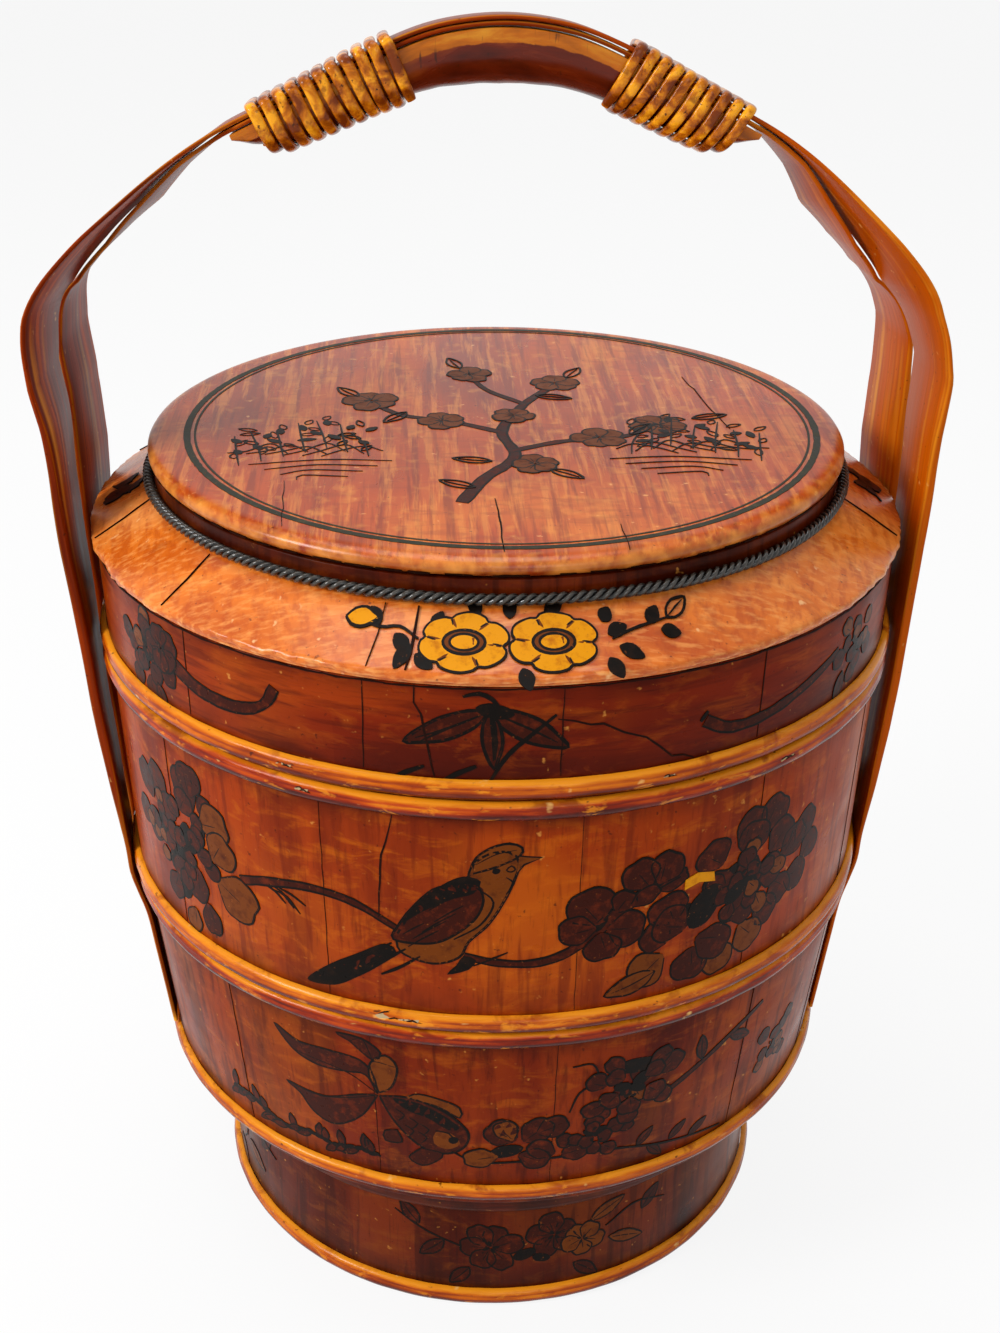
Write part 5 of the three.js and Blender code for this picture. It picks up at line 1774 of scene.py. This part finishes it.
class BASKET_OT_top_painting(bpy.types.Operator):
    """Paint the double ring and the flowering sprays on the lid's board"""

    bl_idname = "basket.top_painting"
    bl_label = "Top Painting"

    def bank(self, m, side):
        """A low bank of rocks and short leafy stems at one side of the board."""
        dice = m.dice
        for k in range(7):
            x, y = side * (56 + 9 * k), -18 - 5 * abs(k - 2)
            tip = (x + side * dice.uniform(3, 9), y + dice.uniform(14, 26))
            m.line.brush([(x, y - 14), (x + side * 2, y), tip], 0.9, 0.6)
            for j in range(5):
                reach = y - 6 + 7 * j + dice.uniform(-2, 2)
                m.leaf((x + side * dice.uniform(0, 5), reach), dice.uniform(0.2, 2.9), dice.uniform(5, 9),
                       3.4, m.line if j % 2 else None, False, 0.7)
        for k in range(6):
            x = side * (50 + 8 * k)
            m.line.brush([(x, -36 - 3 * (k % 2)), (x + side * 8, -30 + 2 * (k % 3)), (x + side * 18, -35),
                          (x + side * 26, -42 + k)], 0.9, 0.5)
        for k in range(4):
            m.line.brush([(side * (46 + 6 * k), -48 - 6 * k), (side * (74 + 3 * k), -46 - 6 * k),
                          (side * (106 - 7 * k), -51 - 6 * k)], 0.8, 0.6)

    def execute(self, context):
        canvas = Canvas(kind="top")
        ring = Painting(canvas)
        for grow, width in ((1.0, 3.0), (0.975, 1.0)):
            ring.brush([(2.5 + 138.7 * grow * math.cos(a), 142 * grow * math.sin(a))
                        for a in [2 * math.pi * k / 72 for k in range(72)]], width, 0, True)
        ring.laid("lid_top_ring", "lid", "top_lacquer", finishes()["ring"])
        m = Motifs(canvas, 17)
        m.twig([(-18, -96), (-8, -70), (6, -44), (2, -12), (14, 24), (30, 52)], 5.5)
        m.twig([(4, -38), (28, -26), (52, -22), (76, -4)], 3.6)
        m.twig([(2, -14), (-22, 2), (-42, 10), (-58, 30)], 3.4)
        m.twig([(14, 24), (-2, 44), (-10, 66)], 2.6)
        for spot, size, petals in (((44, -22), 12, 5), ((72, -6), 13, 5), ((30, 54), 12, 5),
                                   ((-24, 2), 11, 5), ((-56, 30), 13, 5), ((-10, 68), 11, 5),
                                   ((14, -54), 11, 5), ((8, 8), 10, 5)):
            m.blossom(spot, size, petals, m.gold, m.dice.uniform(0, 6))
        for spot, angle in (((20, -60), -0.7), ((-12, -80), 2.6), ((58, -18), 0.9), ((88, 2), 0.3),
                            ((-40, 14), -2.2), ((-62, 36), 2.2), ((36, 62), 1.1), ((-14, 78), 1.9),
                            ((20, 36), -0.3), ((-4, -50), 2.9)):
            m.leaf(spot, angle, 17, 7, None, True, 1.0)
        for side in (-1, 1):
            self.bank(m, side)
        m.laid("lid_top_painting", "lid", "top_lacquer")
        return {"FINISHED"}


class BASKET_OT_cracks(bpy.types.Operator):
    """Open the board joints and hair cracks of age, and lay the dark lines of painted shade under the
    shoulder and the lid board's rim
    """

    bl_idname = "basket.cracks"
    bl_label = "Cracks"

    def chips(self):
        """Torn splinters on the hoops, and the dark line under the lid board's rim, partly chipping and
        partly painted shade.
        """
        kit = finishes()
        # The dark line round the lower roll of the lid board is partly chipping and partly painted shade in
        # the gap above the neck.
        rim = Painting(Canvas(kind="rim"))
        dice = random.Random(31)
        for k in range(70):
            x = 2 * math.pi * TOP_RADIUS * (k + dice.uniform(0, 0.4)) / 70
            long = dice.uniform(5, 13)
            crack(rim, [(x, TOP_LOW + 1.6), (x + long, TOP_LOW + 1.6)], dice.uniform(0.5, 1.3), 0.3, k)
        rim.laid("lid_board_chipped_shade_line", "lid", "top_lacquer", kit["crack"])
        for name, body, wall, low, spots in (
                ("middle_tier_low", "middle_tier", MIDDLE, MIDDLE.low, ((-50, 15, 3.4), (-43, 9, 2.0))),
                ("middle_tier_top", "middle_tier", MIDDLE, MIDDLE.high - HOOP_HIGH,
                 ((-84, 6, 1.6), (118, 8, 1.4))),
                ("lid_low", "lid", LID, LID.low, ((-92, 7, 1.6), (60, 5, 1.2)))):
            torn = Painting(Canvas(wall, "hoop", low))
            gap = Painting(Canvas(wall, "hoop", low))
            for x, long, high in spots:
                middle = low + 0.55 * HOOP_HIGH
                edge = ((-0.5, 0.2), (-0.2, 0.9), (0.1, 0.5), (0.5, 0.7), (0.42, -0.3), (0.1, -0.9),
                        (-0.3, -0.6))
                torn.fill([(x + long * a, middle + high * b) for a, b in edge], 2.4, False)
                for k in range(3):
                    line = [(x + long * (0.3 * k - 0.4), middle + high * (0.5 - 0.5 * k)),
                            (x + long * (0.3 * k - 0.1), middle + high * (0.9 - 0.5 * k)),
                            (x + long * (0.3 * k + 0.15), middle + high * (0.1 - 0.3 * k))]
                    gap.brush(line, 0.6 + 0.2 * k, 0.6)
            torn.laid(f"{name}_torn_patch", body, "hoop_lacquer", kit["chip"])
            gap.laid(f"{name}_torn_gaps", body, "hoop_lacquer", kit["crack"])

    def execute(self, context):
        dark = finishes()["crack"]
        lid = Painting(Canvas(LID))
        half = LID.high_radius
        for azimuth in (-46, -18.9, 5.5, 33, 71, 104, 139, 176, 212, 250, 284):
            x = math.radians(azimuth) * half
            crack(lid, [(x, 316), (x + 0.6, 354.6)], 0.5, 0.2, azimuth)
        crack(lid, [(-39, 354), (-35, 336), (-33, 326), (-31, 315.6)], 0.9, 0.9, 2)
        crack(lid, [(16, 341), (34, 337), (50, 329), (62, 319), (72, 315.6)], 0.9, 0.8, 3)
        # The dark line all round under the shoulder's overhang is partly the open joint and partly painted
        # shade.
        for k in range(90):
            x = 2 * math.pi * half * k / 90
            crack(lid, [(x, 354.4), (x + 13.2, 354.4)], 0.8, 0.28, k)
        lid.laid("lid_wall_joints_and_shade_line", "lid", "wall_lacquer", dark)
        self.chips()
        middle = Painting(Canvas(MIDDLE))
        dice = random.Random(4)
        for k in range(12):
            x = math.radians(-50 + 30 * k + dice.uniform(-7, 7)) * MIDDLE.high_radius
            crack(middle, [(x, 201), (x + 0.5, 296.6)], 0.28, 0.2, k)
        crack(middle, [(-48, 296), (-54, 270), (-55, 246)], 0.8, 0.5, 5)
        middle.laid("middle_tier_joints", "middle_tier", "wall_lacquer", dark)
        bottom = Painting(Canvas(BOTTOM))
        for k in range(14):
            x = math.radians(-42 + 25.7 * k + dice.uniform(-5, 5)) * BOTTOM.high_radius
            crack(bottom, [(x, 99), (x + 0.5, 182.2)], 0.3, 0.2, k)
        bottom.laid("bottom_tier_joints", "base", "wall_lacquer", dark)
        shoulder = Painting(Canvas(kind="shoulder"))
        for azimuth, width in ((-49.8, 0.5), (-18, 0.4), (-13.2, 1.1), (72.5, 0.7), (108, 0.5), (142, 0.6),
                               (178, 0.5), (214, 0.6), (250, 0.5), (285, 0.5)):
            x = math.radians(azimuth) * SHOULDER_DRAWN
            crack(shoulder, [(x, 0.8), (x + 0.6, 14), (x - 0.2, 25.4)], width, 0.3, azimuth)
        shoulder.laid("lid_shoulder_joints", "lid", "shoulder_lacquer", dark)
        top = Painting(Canvas(kind="top"))
        crack(top, [(-3.6, -146), (-3.4, -118), (-4.6, -92)], 0.7, 0.3, 6)
        crack(top, [(44, -144), (43, -120)], 0.4, 0.3, 7)
        crack(top, [(92, 62), (98, 20), (103, -12)], 0.6, 0.5, 8)
        crack(top, [(-88, -118), (-90, -70)], 0.4, 0.4, 9)
        top.laid("lid_top_joints", "lid", "top_lacquer", dark)
        return {"FINISHED"}


# The stage: each lamp is its name, place, target, size and power, in metres and watts

LAMPS = (
    ("Overhead softbox", (-0.2, 0.3, 2.3), (0, 0, 0.3), 1.5, 20),
    ("Left softbox", (-1.9, -0.9, 1.5), (0, 0, 0.35), 0.9, 40),
    ("Front fill", (0.4, -2.4, 1.3), (0, 0, 0.25), 1.4, 10),
)
FLOOR_GLOW = 0.88
AMBIENT = 0.4
LENS = 48.56
CAMERA_SHIFT = 0.0043
CAMERA_PLACE = (-0.036, -0.7628, 0.6622)
# Turn about the upright, tilt up from straight down, and roll about the view, in degrees
CAMERA_TURNS = (-2.7, 62.97, 0.432)


class BASKET_OT_stage(bpy.types.Operator):
    """Set the pale floor, the soft lamps, the world and the camera"""

    bl_idname = "basket.stage"
    bl_label = "Stage"

    def execute(self, context):
        scene = context.scene
        bpy.ops.object.select_all(action="DESELECT")
        bpy.ops.mesh.primitive_plane_add(size=2 * sizes().floor_reach, location=(0, 0, 0))
        floor = context.active_object
        floor.name = "studio_floor"
        floor.data.materials.append(self.floor_finish())
        for lamp in LAMPS:
            self.lamp(*lamp)
        self.world(scene)
        self.camera(scene)
        scene.view_settings.view_transform = "Standard"
        return {"FINISHED"}

    def lamp(self, name, place, target, size, power):
        data = bpy.data.lights.new(name, "AREA")
        data.shape, data.size, data.energy = "DISK", size, power
        lamp = bpy.data.objects.new(name, data)
        lamp.location = place
        lamp.rotation_euler = (Vector(target) - Vector(place)).to_track_quat("-Z", "Y").to_euler()
        bpy.context.scene.collection.objects.link(lamp)

    def shown_white(self, e, under, white, share, end):
        """White where a camera, glossy or transmission ray looks, the other shader for all other light."""
        path = e.node("ShaderNodeLightPath").outputs
        seen = e.sum(path["Is Camera Ray"], path["Is Glossy Ray"], "MAXIMUM")
        seen = e.sum(seen, path["Is Transmission Ray"], "MAXIMUM")
        mix = e.node("ShaderNodeMixShader")
        factor = e.sum(seen, share, "MULTIPLY")
        for value, index in ((factor, 0), (under.outputs[0], 1), (white.outputs[0], 2)):
            e.feed(value, mix.inputs[index])
        e.feed(mix.outputs[0], e.tree.nodes[end].inputs["Surface"])

    def floor_finish(self):
        """A pale floor that takes the basket's shadow."""
        material = bpy.data.materials.new("Studio floor")
        material.use_nodes = True
        e = Nodes(material.node_tree)
        shader = e.tree.nodes["Principled BSDF"]
        e.fed(shader, base_color=(*bpy.context.scene.basket_colours.floor, 1), roughness=0.9)
        shader.inputs["Specular IOR Level"].default_value = 0.1
        glow = e.node("ShaderNodeEmission")
        e.fed(glow, color=(1, 1, 1, 1), strength=1.0)
        self.shown_white(e, shader, glow, FLOOR_GLOW, "Material Output")
        return material

    def world(self, scene):
        """White behind everything, with a lower even light on the basket."""
        scene.world = bpy.data.worlds.new("Studio")
        scene.world.use_nodes = True
        e = Nodes(scene.world.node_tree)
        ambient, white = e.tree.nodes["Background"], e.node("ShaderNodeBackground")
        e.fed(ambient, color=(1, 1, 1, 1), strength=AMBIENT)
        e.fed(white, strength=1.0)
        self.shown_white(e, ambient, white, 1.0, "World Output")

    def camera(self, scene):
        data = bpy.data.cameras.new("Camera")
        data.lens, data.sensor_width, data.sensor_fit, data.shift_x = LENS, 36, "AUTO", CAMERA_SHIFT
        camera = bpy.data.objects.new("Camera", data)
        turn, tilt, roll = (math.radians(degrees) for degrees in CAMERA_TURNS)
        camera.matrix_world = (Matrix.Translation(CAMERA_PLACE) @ Matrix.Rotation(turn, 4, "Z")
                               @ Matrix.Rotation(tilt, 4, "X") @ Matrix.Rotation(roll, 4, "Z"))
        scene.collection.objects.link(camera)
        scene.camera = camera


PIECES = (
    BASKET_OT_foot, BASKET_OT_bottom_tier, BASKET_OT_middle_tier, BASKET_OT_lid, BASKET_OT_rope,
    BASKET_OT_laths, BASKET_OT_grip, BASKET_OT_windings, BASKET_OT_pegs, BASKET_OT_foot_painting,
    BASKET_OT_bottom_painting, BASKET_OT_middle_painting, BASKET_OT_lid_painting, BASKET_OT_top_painting,
    BASKET_OT_cracks, BASKET_OT_stage,
)


class BASKET_PT_panel(bpy.types.Panel):
    """The basket's pieces and settings"""

    bl_idname = "BASKET_PT_panel"
    bl_label = "Food Basket"
    bl_space_type = "VIEW_3D"
    bl_region_type = "UI"
    bl_category = "Basket"

    def draw(self, context):
        for settings in (context.scene.basket_sizes, context.scene.basket_colours):
            for name in settings.__annotations__:
                self.layout.prop(settings, name)
        for piece in PIECES:
            self.layout.operator(piece.bl_idname)


CLASSES = (BasketSizes, BasketColours, *PIECES, BASKET_PT_panel)


def register():
    for each in CLASSES:
        bpy.utils.register_class(each)
    bpy.types.Scene.basket_sizes = PointerProperty(type=BasketSizes)
    bpy.types.Scene.basket_colours = PointerProperty(type=BasketColours)


def unregister():
    del bpy.types.Scene.basket_colours
    del bpy.types.Scene.basket_sizes
    for each in reversed(CLASSES):
        bpy.utils.unregister_class(each)


def main():
    register()
    for piece in PIECES:
        group, word = piece.bl_idname.split(".")
        if getattr(getattr(bpy.ops, group), word)() != {"FINISHED"}:
            raise RuntimeError(f"{piece.bl_label} was not finished")


if __name__ == "__main__":
    main()
